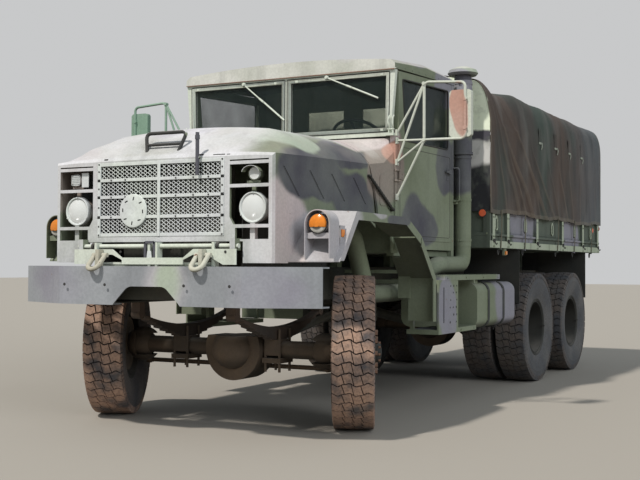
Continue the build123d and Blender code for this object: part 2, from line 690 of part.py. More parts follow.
# Lamps in the nose: one headlamp each side with a small hooded lamp above it.
headlamp_x = 722.0
headlamp_z = 1531.0
lens_recess = 28.0
with BuildPart() as headlamps:
    for side in (-1, 1):
        x = side * headlamp_x
        lens = hood_front + lens_recess
        bar_y(x, (lens, lens + 34), headlamp_z, 102)
        bar_y(x, (lens + 34, lens + 130), headlamp_z, 88)
        bar_y(x, (lens - 4, lens + 70), 1748, 44)
        side_profile([(lens + 14, headlamp_z + 90), (lens + 34, headlamp_z + 90),
                      (lens + 34, 1712), (lens + 14, 1712)], (x - 12, x + 12))
        side_profile([(hood_front + 22 + running_gap, 1300), (hood_front + 60, 1300), (hood_front + 60, headlamp_z - 84),
                      (hood_front + 22 + running_gap, headlamp_z - 84)], (x - 18, x + 18))
        block((x - 200 * (side > 0) - 18 * (side < 0), x + 18 * (side > 0) + 200 * (side < 0)),
              (hood_front + 44, hood_front + 60), (1310, 1326))
save(headlamps, "headlamps")

cowl_start = hood_rear + seam
cowl_clearance = 7.0
cowl_flare = 0.2107


def cowl_half(distance):
    # The cowl's half width, from the hood's side out to the door post.
    return hood_half + 2 + (distance - cowl_start) * cowl_flare


# Front fenders that tilt with the hood: bent sheet between the hood side and an outer lip.
fender_inner_line = [(-736, 1186), (-369, 1534), (498, 1515), (758, 1388)]
fender_outer_line = [(-620, 1188), (-370, 1520), (498, 1515), (758, 1388)]


def fender_slab(side, index, above, below, mode=Mode.ADD):
    # The slab between the hood side and the outer edge, for one run of the fender.
    profiles = []
    for x, line in ((side * hood_half, fender_inner_line), (side * fender_half, fender_outer_line)):
        (d0, z0), (d1, z1) = line[index], line[index + 1]
        with BuildSketch(Plane.YZ.offset(x)) as sheet:
            with BuildLine():
                Polyline((behind(d0), z0 + above), (behind(d1), z1 + above), (behind(d1), z1 - below),
                         (behind(d0), z0 - below), close=True)
            make_face()
        profiles.append(sheet.sketch)
    loft(profiles, ruled=True, mode=mode)


with BuildPart() as fenders:
    for side in (-1, 1):
        for index in range(3):
            fender_slab(side, index, 0, fender_sheet)
        lip = fender_outer_line + [(752, 1388 - fender_lip - 6), (474, 1515 - fender_lip),
                                   (-342, 1520 - fender_lip), (-560, 1188)]
        side_profile(lip, (side * (fender_half - fender_sheet), side * fender_half))
        # Behind the hood's side the inner edge follows the cowl as it widens.
        with BuildSketch(Plane.XY.offset(1200)) as cowl_side:
            with BuildLine():
                Polyline((side * (hood_half - 20), behind(cowl_start)), (side * (cowl_half(cowl_start) + cowl_clearance), behind(cowl_start)),
                         (side * (cowl_half(800) + cowl_clearance), behind(800)), (side * (hood_half - 20), behind(800)),
                         close=True)
            make_face()
        extrude(cowl_side.sketch, amount=400, mode=Mode.SUBTRACT)
save(fenders, "front_fenders")

signal_x = 1087.0
signal_z = 1428.0
signal_front = -700.0
guard_rear = -560.0
marker_x = 1150.0
with BuildPart() as signals:
    for side in (-1, 1):
        x = side * signal_x
        # Lens, its arched guard and the small side marker.
        bar_y(x, (signal_front + 20, guard_rear), signal_z, 66)
        with BuildSketch(Plane.XZ.offset(-behind(guard_rear))) as guard:
            with BuildLine():
                Line((x - 92, signal_z - 225), (x - 92, signal_z))
                ThreePointArc((x - 92, signal_z), (x, signal_z + 92), (x + 92, signal_z))
                Line((x + 92, signal_z), (x + 92, signal_z - 225))
                Line((x + 92, signal_z - 225), (x + 86, signal_z - 225))
                Line((x + 86, signal_z - 225), (x + 86, signal_z))
                ThreePointArc((x + 86, signal_z), (x, signal_z + 86), (x - 86, signal_z))
                Line((x - 86, signal_z), (x - 86, signal_z - 225))
                Line((x - 86, signal_z - 225), (x - 92, signal_z - 225))
            make_face()
        extrude(guard.sketch, amount=guard_rear - signal_front)
        side_profile([(signal_front + 24, signal_z - 96), (guard_rear, signal_z - 70), (guard_rear, signal_z - 40),
                      (signal_front + 24, signal_z - 60)], (x - 88, x + 88))
        marker = side * marker_x
        block((marker - 30, marker + 30), (-545, -478), (1300, 1420))
    # What lies below the sloping sheet is trimmed off, just clear of it.
    for side in (-1, 1):
        fender_slab(side, 0, running_gap, 400, mode=Mode.SUBTRACT)
save(signals, "signal_lamps")

# Rear halves of the fenders, fixed ahead of the steps.
tail_line = [(770, 1382), (1070, 1064), (1070, 722)]
tail_inner_x = 981.0
with BuildPart() as fender_tails:
    for side in (-1, 1):
        side_profile(tail_line + [(1062, 722), (1062, 1060), (770, 1370)],
                     (side * tail_inner_x, side * fender_half))
        side_profile([(914, 1229), (1070, 1064), (1062, 1060), (906, 1225)], (side * 905, side * tail_inner_x))
        block((side * rail_outer_x, side * 1000), (1036, 1062), (1096, rail_top - 20))
        block((side * 900, side * 1000), (1050, 1062), (900, rail_top - 20))
        side_profile(tail_line + [(1070 - fender_lip, 722), (1070 - fender_lip, 1042), (770, 1382 - fender_lip - 24)],
                     (side * (fender_half - fender_sheet), side * fender_half))
save(fender_tails, "fender_tails")

# Cab tub: cowl, firewall, floor, sills, rear wall and posts in one welded body.
cowl_sections = [
    (cowl_start, cowl_half(cowl_start), 1924, 800, 2021, 620, 2109, 2141),
    (690, cowl_half(690), 1946, 840, 2050, 690, 2120, 2146),
    (868, cowl_half(868), 2080, 958, 2130, 930, 2160, windshield_bottom),
]
post_width = 45.0
vent_middle = 700.0
vent_width = 130.0
grab_y = 2085.0
door_hinge_x = 990.0
door_hinge_y = 866.0
hinge_heights = (1440, 1860)
with BuildPart() as cab:
    ruled_body(cowl_sections, 0, cab_floor - cab_wall)
    hollow_rows = [(cowl_start - 10,) + cowl_sections[0][1:], cowl_sections[1], (846,) + cowl_sections[2][1:]]
    ruled_body(hollow_rows, 17, 1100, mode=Mode.SUBTRACT)
    # The side panels stop short of the hood's sides, and above the fenders.
    with BuildSketch(Plane.YZ) as hood_side:
        with BuildLine():
            reach = side_seam_radius + 8
            Polyline((behind(cowl_start - 20), 1926), (behind(cowl_start - 20), 1100), (behind(790), 1100),
                     (behind(790), 1391), (behind(seam_at(reach, 1462)), 1462))
            ThreePointArc((behind(seam_at(reach, 1462)), 1462), (behind(seam_at(reach, 1700)), 1700),
                          (behind(seam_at(reach, 1926)), 1926))
            Line((behind(seam_at(reach, 1926)), 1926), (behind(cowl_start - 20), 1926))
        make_face()
    extrude(hood_side.sketch, amount=1000, both=True, mode=Mode.SUBTRACT)
    for side in (-1, 1):
        block((side * (cab_half - post_width), side * cab_half), (816, 868), (1283, windshield_bottom))
        # Embossed vent on the cowl side.
        panel = Plane(origin=(side * cowl_half(vent_middle), behind(vent_middle), 1735),
                      x_dir=(side * cowl_flare, 1, 0), z_dir=(side, -cowl_flare, 0))
        with BuildSketch(panel) as vent:
            RectangleRounded(vent_width, 236, 22)
        extrude(vent.sketch, amount=5, both=True)
        block((side * 880, side * 935), (868, cab_rear), (1235, cab_floor))
        block((side * (cab_half - post_width), side * cab_half), (door_rear + door_gap, cab_rear), (1240, 2200))
    block((-935, 935), (846, cab_rear), (cab_floor - cab_wall, cab_floor))
    block((-cab_half, cab_half), (cab_rear - cab_wall, cab_rear), (1240, 2200))
    # Fixed knuckles and pins of the door hinges.
    for side in (-1, 1):
        for z in hinge_heights:
            bar_z(side * door_hinge_x, door_hinge_y, (z - 46, z + 46), 5)
            for z0, z1 in ((z - 48, z - 34), (z + 34, z + 48)):
                bar_z(side * door_hinge_x, door_hinge_y, (z0, z1), 12)
                block((side * cab_half, side * (cab_half + 14)), (808, door_hinge_y), (z0, z1))
    # Body mounts down to the frame.
    for side in (-1, 1):
        for place in (950, 2000):
            block((side * 362, side * 426), (place - 40, place + 40), (rail_top, cab_floor - cab_wall))
    # Grab loop on the corner behind each door.
    for side in (-1, 1):
        tube([(side * (cab_half - 12), grab_y, 1724), (side * (cab_half + 55), grab_y, 1724),
              (side * (cab_half + 55), grab_y, 2013), (side * (cab_half - 12), grab_y, 2013)], 9, 24)
save(cab, "cab_tub")

# Hard top: crowned roof with a rear panel and two rear windows.
rear_window = ((95, 2400), (470, 2400), (470, 2590), (95, 2590))
with BuildPart() as roof:
    for inset, start, end, drop, mode in ((0, 803, cab_rear, 0, Mode.ADD),
                                          (roof_wall, 862, cab_rear - roof_wall, 10, Mode.SUBTRACT)):
        sections = []
        for at, lip, height in ((start, roof_front_lip, roof_lip_height),
                                (roof_middle, roof_middle_lip, roof_middle_height),
                                (end, roof_rear_lip + 17, roof_rear_height)):
            half = cab_half - inset
            top = lip + height - inset
            with BuildSketch(Plane.XZ.offset(-behind(at))) as section:
                with BuildLine():
                    Line((-half, lip - drop), (-half, top - 30))
                    Line((-half, top - 30), (-half + 40, top))
                    ThreePointArc((-half + 40, top), (0, top + roof_crown), (half - 40, top))
                    Line((half - 40, top), (half, top - 30))
                    Line((half, top - 30), (half, lip - drop))
                    Line((half, lip - drop), (-half, lip - drop))
                make_face()
            sections.append(section.sketch)
        for first, second in zip(sections, sections[1:]):
            loft([first, second], ruled=True, mode=mode)
    block((-cab_half, cab_half), (cab_rear - cab_wall, cab_rear), (2200, 2790))
    for side in (-1, 1):
        block((side * (cab_half - post_width), side * cab_half), (door_rear + door_gap, cab_rear), (2200, 2770))
        front_profile([(side * x, z) for x, z in rear_window], (cab_rear - 60, cab_rear + 20),
                      mode=Mode.SUBTRACT)
save(roof, "cab_roof")

# Windshield frame with two openings and the wipers hung from its top.
pane = ((40, 2232), (888, 2232), (896, 2640), (40, 2640))
wipers = [(-397, 2660, -56, 2377), (380, 2660, 779, 2489)]
frame_span = (815, 857)
with BuildPart() as windshield:
    front_profile([(-932, windshield_bottom), (932, windshield_bottom), (974, roof_front_lip),
                   (-974, roof_front_lip)], frame_span)
    for side in (-1, 1):
        front_profile([(side * x, z) for x, z in pane], (800, 870), mode=Mode.SUBTRACT)
    for pivot_x, pivot_z, tip_x, tip_z in wipers:
        bar_y(pivot_x, (794, 817), pivot_z, 14)
        rod((pivot_x, 800, pivot_z), (tip_x, 806, tip_z), 6)
        middle_x, middle_z = (pivot_x + tip_x) / 2, (pivot_z + tip_z) / 2
        rod((middle_x, 808, middle_z), (tip_x + (tip_x - middle_x) * 0.25, 812, tip_z + (tip_z - middle_z) * 0.25), 8)
save(windshield, "windshield_frame")

with BuildPart() as cab_glass:
    for side in (-1, 1):
        front_profile([(side * x, z) for x, z in pane], (833, 839))
        front_profile([(side * x, z) for x, z in rear_window], (cab_rear - 16, cab_rear - 10))
save(cab_glass, "cab_glass")

# Inside the cab: dashboard, steering wheel, seats.
with BuildPart() as dashboard:
    side_profile([(868, 1900), (960, 1900), (1010, 1960), (990, 2110), (868, 2125)], (-900, 900))
save(dashboard, "dashboard")

wheel_place = (440, 1290, 2215)
with BuildPart() as steering_wheel:
    hub = Plane(origin=(wheel_place[0], behind(wheel_place[1]), wheel_place[2]), x_dir=(1, 0, 0),
                z_dir=(0, sin(radians(38)), cos(radians(38))))
    with Locations(hub):
        Torus(228, 13)
        Cylinder(36, 34)
        with GridLocations(0, 0, 1, 1):
            Box(440, 22, 12)
            Box(22, 440, 12)
    rod(wheel_place, (440, 886, 1698), 22)
save(steering_wheel, "steering_wheel")

seats = [("driver", 180, 700, 0), ("bench", -860, 60, 0)]
with BuildPart() as seat_bases:
    for word, x0, x1, shift in seats:
        block((x0 + 30, x1 - 30), (1500, 1960), (cab_floor, 1560))
        block((x0 + 40, x1 - 40), (2010, 2034), (1560, 2190))
        block((x0 + 30, x1 - 30), (1960, 2034), (1500, 1560))
save(seat_bases, "seat_bases")
with BuildPart() as cushions:
    for word, x0, x1, shift in seats:
        block((x0, x1), (1450, 1985), (1560, 1680))
        block((x0, x1), (1890, 2010), (1680, 2230))
    fillet(cushions.edges().filter_by(Axis.Z, reverse=False), radius=24)
save(cushions, "seat_cushions")

# Doors with their window frames, strap hinges, handles and glass.
door_top = [(door_front, roof_front_lip - 6), (door_rear, roof_rear_lip - 2)]
window = [(1013, 2146), (947, 2626), (1949, 2677), (1951, 2165)]
door_inner_x = cab_half - door_thickness
for label, side in (("left", 1), ("right", -1)):
    with BuildPart() as door:
        side_profile([(door_front, door_bottom), (door_rear, door_bottom)] + door_top[::-1],
                     (side * door_inner_x, side * cab_half))
        side_profile([(door_front + 40, door_bottom + 40), (door_rear - 40, door_bottom + 40),
                      (door_rear - 40, 2110), (door_front + 40, 2100)],
                     (side * (door_inner_x - 1), side * (cab_half - 8)), mode=Mode.SUBTRACT)
        side_profile(window, (side * 900, side * 1000), mode=Mode.SUBTRACT)
        # Pressed panel line, handle and hinges.
        side_profile([(door_front + 30, 1362), (door_rear - 20, 1362), (door_rear - 20, 1380),
                      (door_front + 30, 1380)], (side * (cab_half - 4), side * (cab_half + 6)))
        block((side * (cab_half - 4), side * (cab_half + 26)), (1928, 1978), (1950, 1988))
        block((side * (cab_half + 14), side * (cab_half + 26)), (1868, 1978), (1960, 1980))
        for z in hinge_heights:
            block((side * (cab_half - 2), side * (cab_half + 10)), (door_front + 4, door_front + 120),
                  (z - 28, z + 28))
            bar_z(side * door_hinge_x, door_hinge_y, (z - 28, z + 28), 12)
            block((side * (cab_half + 2), side * (cab_half + 12)), (door_hinge_y, door_front + 10),
                  (z - 28, z + 28))
            bar_z(side * door_hinge_x, door_hinge_y, (z - 40, z + 40), 5 + running_gap, mode=Mode.SUBTRACT)
    save(door, f"door_{label}")
    with BuildPart() as door_glass:
        side_profile(window, (side * 950, side * 956))
    save(door_glass, f"door_glass_{label}")

# Mirror loops on both sides, in the plane of the windshield.
mirror_plane = 830.0
mirror_tube = 11.0
mirror_head_x = (1410.0, 1585.0)
mirror_head_z = (2132.0, 2490.0)
with BuildPart() as mirrors:
    for side in (-1, 1):
        loop = [(1208, 2140), (1208, 2568), (1539, 2545), (1539, 2118), (1260, 2123)]
        tube([(side * x, mirror_plane, z) for x, z in loop], mirror_tube, 38)
        for start, end in (((1264, 2123), (982, 2128)), ((1208, 2118), (1208, 2150)), ((1208, 2556), (984, 2190)), ((1212, 2124), (984, 1960)), ((1212, 2124), (984, 1690)),
                           ((1208, 2556), (984, 1960))):
            rod((side * start[0], mirror_plane, start[1]), (side * end[0], mirror_plane, end[1]), 9)
        for z in (2128, 2190, 1960, 1690):
            block((side * cab_half, side * (cab_half + 14)), (mirror_plane - 18, mirror_plane + 18),
                  (z - 24, z + 24))
        with BuildSketch(Plane.XZ.offset(-behind(mirror_plane + 52))) as head:
            with Locations((side * (mirror_head_x[0] + mirror_head_x[1]) / 2, sum(mirror_head_z) / 2)):
                RectangleRounded(mirror_head_x[1] - mirror_head_x[0], mirror_head_z[1] - mirror_head_z[0], 28)
        extrude(head.sketch, amount=46)
save(mirrors, "mirrors")

# Intake stack behind the left door, its bend forward under the cab and the duct into the engine bay.
with BuildPart() as intake:
    bar_z(stack_x, stack_behind, (2150, 2800), stack_radius)
    bar_z(stack_x, stack_behind, (1330, 2170), stack_radius - 8)
    bar_z(stack_x, stack_behind, (2142, 2166), stack_radius + 8)
    bar_z(stack_x, stack_behind, (2800, 2850), 44)
    with BuildSketch(Plane.XZ.offset(-behind(stack_behind))) as cap:
        with BuildLine():
            Polyline((stack_x, 2846), (stack_x + 118, 2846), (stack_x + 135, 2866), (stack_x + 120, 2896),
                     (stack_x + 60, 2922), (stack_x, 2926), close=True)
        make_face()
    revolve(cap.sketch, axis=Axis((stack_x, behind(stack_behind), 0), (0, 0, 1)))
    tube([(stack_x, stack_behind, 1400), (stack_x, stack_behind, 1172), (stack_x - 10, 1590, 1165),
          (752, 1380, 935), (752, 770, 935), (752, 500, 1430), (330 + running_gap, 500, 1430)], 70, 95)
    for z in (1720, 2420):
        block((930, 1000), (cab_rear, stack_behind - 60), (z - 20, z + 20))
save(intake, "intake_stack")

with BuildPart() as exhaust:
    bar_z(-stack_x, stack_behind, (1500, 2300), 88)
    bar_z(-stack_x, stack_behind, (1250, 2640), 52)
    tube([(-stack_x, stack_behind, 2600), (-stack_x, stack_behind, 2740), (-stack_x - 90, stack_behind, 2800)],
         52, 60)
    tube([(-stack_x, stack_behind, 1300), (-stack_x, stack_behind, 1190), (-640, 1560, 1190), (-640, 300, 1190),
          (-330 - running_gap, 300, 1190)], 42, 95)
    for z in (1600, 2200):
        block((-1000, -930), (cab_rear, stack_behind - 60), (z - 20, z + 20))
save(exhaust, "exhaust_stack")

# Fuel tank on the left, battery box on the right.
tank_x = (500.0, 1213.0)
tank_span = (2040.0, 3100.0)
tank_z = (616.0, 1012.0)
with BuildPart() as tank:
    block(tank_x, tank_span, tank_z)
    long_edges = tank.edges().filter_by(Axis.Y)
    fillet(long_edges, radius=85)
    for place in (2330, 2750):
        block((rail_outer_x, tank_x[0] + 40), (place - 24, place + 24), (720, 1100))
        block((tank_x[0] + 60, tank_x[1] - 60), (place - 24, place + 24), (tank_z[1] - 4, tank_z[1] + 5))
        block((tank_x[1] - 4, tank_x[1] + 5), (place - 24, place + 24), (tank_z[0] + 60, tank_z[1] - 60))
    bar_z(1120, 2160, (tank_z[1] - 40, tank_z[1] + 26), 50)
save(tank, "fuel_tank")

with BuildPart() as batteries:
    block((-1180, -500), (2060, 2860), (650, 1010))
    block((-1196, -490), (2050, 2870), (985, 1012))
    for place in (2200, 2720):
        block((-510, -rail_outer_x), (place - 24, place + 24), (760, 1100))
        block((-1196, -1180), (place - 20, place + 20), (880, 960))
save(batteries, "battery_box")

# Steps: a low tread, its hangers and end plate, and a long upper tread.
with BuildPart() as steps:
    for side in (-1, 1):
        tread_end = 2035 if side > 0 else 2045
        block((side * 930, side * 1205), (1150, tread_end), (612, 648))
        block((side * 1190, side * 1205), (1150, 1590), (640, 1040))
        block((side * 1050, side * 1208), (1280, 2670), (1040, 1082))
        for place in (1162, 1990):
            block((side * rail_outer_x, side * 1205), (place - 12, place + 12), (1012, 1044))
            block((side * 960, side * 990), (place - 12, place + 12), (640, 1020))
        block((side * 1050, side * 1205), (1162, 1285), (1012, 1044))
save(steps, "side_steps")

# Cargo bed: frame sills, cross sills, floor, bottom rails and headboard.
headboard_depth = 38.0
board_half = 1120.0
board_top = bed_floor_top + 4
bed_cross = [2400.0, 2890.0, 3280.0, 3850.0, 4340.0, 4830.0, 5320.0, 5885.0, 6480.0]
side_z = (bed_floor_top + 7, bed_side_top)
gate_hinge_y = bed_rear + 22.0
gate_hinge_z = bed_floor_top - 24.0
with BuildPart() as bed:
    block((-1200, 1200), (bed_front, bed_rear), (bed_floor_top - 30, bed_floor_top))
    for side in (-1, 1):
        block((side * (bed_half - bed_side_depth), side * bed_half), (bed_front, bed_rear),
              (bed_bottom, bed_bottom + bed_rail_height))
        block((side * 1175, side * 1200), (bed_front, bed_rear), (bed_bottom + 40, bed_floor_top))
        block((side * 362, side * rail_outer_x), (bed_front + 10, 6430), (rail_top, bed_bottom + 10))
    # Floor boards between the side panels and the bows' feet.
    block((-board_half, board_half), (bed_front + headboard_depth + 10, bed_rear - 30), (bed_floor_top - 1, board_top))
    for place in bed_cross:
        block((-1170, 1170), (place - 35, place + 35), (bed_bottom, bed_floor_top - 28))
    block((-bed_half, bed_half), (bed_front, bed_front + headboard_depth), (bed_bottom, bed_floor_top))
    # Lashing hooks under the rails.
    for side in (-1, 1):
        for place in (2650, 3400, 4589, 5300, 6100):
            bar_x((side * 1195, side * (bed_half + 12)), place, bed_bottom - 8, 9)
    # Tailgate hinge pins between their lugs.
    for x in (-900, 0, 900):
        bar_x((x - 58, x + 58), gate_hinge_y, gate_hinge_z, 8)
        for end in (-1, 1):
            lug = sorted((x + end * 42, x + end * 58))
            block(lug, (bed_rear - 5, gate_hinge_y + 12), (gate_hinge_z - 14, gate_hinge_z + 14))
save(bed, "cargo_bed")

headboard_posts = (-1188.0, -600.0, 0.0, 600.0, 1188.0)
rib_places = [2470.0, 2890.0, 3850.0, 4830.0, 5725.0, 6465.0]
with BuildPart() as bed_sides:
    # Headboard, with its posts ahead of the panel.
    headboard = (bed_front, bed_front + headboard_depth)
    block((-bed_half, bed_half), (bed_front + 16, headboard[1]), (bed_floor_top + 1, bed_side_top))
    for x in headboard_posts:
        block((x - 30, x + 30), headboard, (bed_floor_top + 1, bed_side_top))
    for z0, z1 in ((bed_floor_top + 1, bed_floor_top + 30), (bed_side_top - 45, bed_side_top)):
        block((-bed_half, bed_half), headboard, (z0, z1))
    for side in (-1, 1):
        span = (bed_front + 45, bed_rear - 5)
        block((side * 1172, side * 1190), span, (bed_floor_top + 1, bed_side_top))
        block((side * 1172, side * bed_half), span, (bed_side_top - 50, bed_side_top))
        block((side * 1172, side * bed_half), span, (bed_floor_top + 1, bed_floor_top + 20))
        for place in rib_places:
            block((side * 1188, side * bed_half), (place - 35, place + 35), (bed_floor_top + 1, bed_side_top))
            block((side * 1202, side * bed_half), (place - 20, place + 20),
                  (bed_bottom + bed_rail_height, bed_floor_top + 4))
save(bed_sides, "cargo_sides")

with BuildPart() as tailgate:
    block((-1158, 1158), (bed_rear - gate_thickness, bed_rear), side_z)
    block((-1110, 1110), (bed_rear - gate_thickness - 1, bed_rear - 10), (side_z[0] + 45, side_z[1] - 45),
          mode=Mode.SUBTRACT)
    for x in (-760, -380, 0, 380, 760):
        block((x - 25, x + 25), (bed_rear - gate_thickness, bed_rear - 8), side_z)
    for x in (-900, 0, 900):
        block((x - 35, x + 35), (bed_rear - 6, bed_rear + 30), (side_z[0], side_z[0] + 40))
        block((x - 35, x + 35), (bed_rear + 14, bed_rear + 30), (gate_hinge_z, side_z[0] + 10))
        bar_x((x - 35, x + 35), gate_hinge_y, gate_hinge_z, 16)
        bar_x((x - 50, x + 50), gate_hinge_y, gate_hinge_z, 8 + running_gap, mode=Mode.SUBTRACT)
save(tailgate, "tailgate")

# Canvas cover: a bent sheet over five bows, closed in front.
canvas_half = bed_half + running_gap + canvas_wall
canvas_front = 2348.0
canvas_rear = 6580.0


def canvas_section(at, inset, low):
    with BuildSketch(Plane.XZ.offset(-behind(at))) as section:
        with BuildLine():
            half = canvas_half - inset
            Line((-half, low), (-half, canvas_shoulder))
            ThreePointArc((-half, canvas_shoulder), (-half + 36, 2710 - inset * 0.6),
                          (-canvas_corner_x + inset, canvas_corner_z - inset))
            ThreePointArc((-canvas_corner_x + inset, canvas_corner_z - inset), (0, canvas_top - inset),
                          (canvas_corner_x - inset, canvas_corner_z - inset))
            ThreePointArc((canvas_corner_x - inset, canvas_corner_z - inset), (half - 36, 2710 - inset * 0.6),
                          (half, canvas_shoulder))
            Line((half, canvas_shoulder), (half, low))
            Line((half, low), (-half, low))
        make_face()
    return section.sketch


with BuildPart() as canvas:
    extrude(canvas_section(canvas_rear, 0, canvas_hem), amount=canvas_rear - canvas_front)
    extrude(canvas_section(canvas_rear + 10, canvas_wall, canvas_hem - 10),
            amount=canvas_rear + 10 - canvas_front - canvas_wall, mode=Mode.SUBTRACT)
save(canvas, "canvas_cover")

bow_places = [2425.0, 3435.0, 4445.0, 5455.0, 6450.0]
bow_radius = 17.0
with BuildPart() as bows:
    for place in bow_places:
        side_x = bed_half - 46 - bow_radius - running_gap
        crown = canvas_top - canvas_wall - bow_radius - running_gap
        bend = [(side_x, bed_floor_top), (side_x, 2600), (canvas_corner_x - 55, canvas_corner_z - 45), (0, crown)]
        with BuildLine(Plane.XZ.offset(-behind(place))) as bow_line:
            FilletPolyline(*(bend + [(-x, z) for x, z in bend[-2::-1]]), radius=90)
        with BuildSketch(Plane(origin=bow_line.line @ 0, z_dir=bow_line.line % 0)) as bow_section:
            Circle(bow_radius)
        sweep(bow_section.sketch, path=bow_line.line)
save(bows, "cover_bows")

# Mud flaps before and behind the tandem.
with BuildPart() as flaps:
    for side in (-1, 1):
        for place, low in ((3280, 800), (5885, 790)):
            block((side * 640, side * 1206), (place - 4, place + 4), (low, bed_bottom))
save(flaps, "mud_flaps")

with BuildPart() as rear_lamps:
    for side in (-1, 1):
        block((side * 700, side * 860), (6440, 6500), (1180, 1300))
        block((side * 690, side * 870), (6436, 6510), (1296, bed_bottom))
        bar_y(side * 742, (6500, 6520), 1240, 34)
        bar_y(side * 818, (6500, 6520), 1240, 34)
save(rear_lamps, "rear_lamps")

# Pintle hook on the rear crossmember.
with BuildPart() as pintle:
    block((-90, 90), (frame_rear, frame_rear + 22), (925, 1105))
    bar_y(0, (frame_rear, frame_rear + 70), 1017, 40)
    side_profile([(frame_rear + 60, 985), (rear_reach - 40, 965), (rear_reach, 990), (rear_reach, 1060),
                  (rear_reach - 24, 1066), (rear_reach - 34, 1015), (frame_rear + 90, 1020),
                  (frame_rear + 90, 1085), (frame_rear + 60, 1085)], (-26, 26))
    side_profile([(frame_rear + 60, 1080), (rear_reach - 14, 1092), (rear_reach - 14, 1072),
                  (frame_rear + 60, 1056)], (-22, 22))
save(pintle, "pintle_hook")
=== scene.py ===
import bmesh
import bpy
from math import asin, cos, exp, pi, radians, sin
from mathutils import Matrix, Vector, noise


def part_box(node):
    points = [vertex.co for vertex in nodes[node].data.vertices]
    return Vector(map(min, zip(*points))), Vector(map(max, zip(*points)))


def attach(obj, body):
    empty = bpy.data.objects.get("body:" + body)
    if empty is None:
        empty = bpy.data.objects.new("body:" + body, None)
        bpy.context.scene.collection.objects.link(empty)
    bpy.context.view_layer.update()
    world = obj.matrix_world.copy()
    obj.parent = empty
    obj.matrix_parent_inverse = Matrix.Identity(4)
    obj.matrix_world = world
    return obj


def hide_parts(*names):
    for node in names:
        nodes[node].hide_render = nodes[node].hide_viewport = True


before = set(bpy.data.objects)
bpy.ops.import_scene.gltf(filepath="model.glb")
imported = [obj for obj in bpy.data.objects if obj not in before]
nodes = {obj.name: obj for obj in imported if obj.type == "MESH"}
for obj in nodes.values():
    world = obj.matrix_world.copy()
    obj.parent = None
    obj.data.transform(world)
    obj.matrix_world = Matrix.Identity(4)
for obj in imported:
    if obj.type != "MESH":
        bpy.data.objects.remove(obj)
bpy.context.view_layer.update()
scene = bpy.context.scene
scene.view_settings.view_transform = "Standard"
frontAxleY = -2.76825  # the row's y of the front axle; lengths below are given behind it
wheelHeight = 0.545
steerAngle = 24.5
hands = ((1, "Left"), (-1, "Right"))
outwards, forwards, backwards, upwards = (1, 0, 0), (0, -1, 0), (0, 1, 0), (0, 0, 1)


def place(x, back, z):
    return Vector((x, frontAxleY + back, z))


def colour(red, green, blue):
    # 0-255 screen values to the linear values that sockets take
    parts = [v / 255 for v in (red, green, blue)]
    return tuple(v / 12.92 if v < 0.04045 else ((v + 0.055) / 1.055) ** 2.4 for v in parts) + (1.0,)


def feed(tree, node, inputs):
    # Each input takes a value, or the socket that feeds it.
    for key, value in inputs.items():
        if isinstance(value, bpy.types.NodeSocket):
            tree.links.new(value, node.inputs[key])
        else:
            node.inputs[key].default_value = value


def addNode(tree, kind, inputs, **settings):
    node = tree.nodes.new(kind)
    for key, value in settings.items():
        setattr(node, key, value)
    feed(tree, node, inputs)
    return node.outputs


def mathNode(tree, operation, first, second):
    return addNode(tree, "ShaderNodeMath", {0: first, 1: second}, operation=operation)[0]


def mixColour(tree, factor, first, second):
    return addNode(tree, "ShaderNodeMix", {"Factor": factor, "A": first, "B": second}, data_type="RGBA")["Result"]


def addObject(name, data):
    made = bpy.data.objects.new(name, data)
    scene.collection.objects.link(made)
    return made


print("stage: camera and light")
viewpoint = {"position": (4.3129, -6.8287, 1.1608), "yaw": 27.587, "pitch": 1.329, "roll": 0.2412,
             "lens": 60.507, "sensor": 36.0, "reach": 200.0}
studio = {"sky": (0.58, 0.64, 0.68, 1), "backdrop": (0.93, 0.94, 0.95, 1), "strength": 0.62,
          "floor": (0.34, 0.31, 0.27, 1), "floor rough": 0.9, "half": 60.0}
suns = {"sun": {"turn": (36, 0, -20), "energy": 3.1, "angle": 0.05, "color": (1.0, 0.96, 0.9)},
        "fill": {"turn": (64, 0, 66), "energy": 1.15, "angle": 0.6, "color": (0.9, 0.95, 1.0)}}


def setCamera():
    yaw, pitch, roll = (radians(viewpoint[key]) for key in ("yaw", "pitch", "roll"))
    ahead = Vector((-sin(yaw) * cos(pitch), cos(yaw) * cos(pitch), sin(pitch)))
    right = Vector((cos(yaw), sin(yaw), 0))
    up = right.cross(ahead)
    data = bpy.data.cameras.new("camera")
    data.lens, data.sensor_width, data.clip_end = (viewpoint[key] for key in ("lens", "sensor", "reach"))
    scene.camera = addObject("camera", data)
    turn = Matrix((right * cos(roll) + up * sin(roll), up * cos(roll) - right * sin(roll), -ahead)).transposed()
    scene.camera.matrix_world = Matrix.Translation(place(*viewpoint["position"])) @ turn.to_4x4()


def setLights():
    scene.world = bpy.data.worlds.new("studio")
    scene.world.use_nodes = True
    tree = scene.world.node_tree
    seen = addNode(tree, "ShaderNodeLightPath", {})["Is Camera Ray"]
    feed(tree, tree.nodes["Background"], {"Color": mixColour(tree, seen, studio["sky"], studio["backdrop"]),
                                          "Strength": studio["strength"]})
    for name, settings in suns.items():
        data = bpy.data.lights.new(name, "SUN")
        data.energy, data.angle, data.color = settings["energy"], settings["angle"], settings["color"]
        addObject(name, data).rotation_euler = [radians(a) for a in settings["turn"]]


def newMaterial(name):
    material = bpy.data.materials.new(name)
    material.use_nodes = True
    return material, material.node_tree, material.node_tree.nodes["Principled BSDF"]


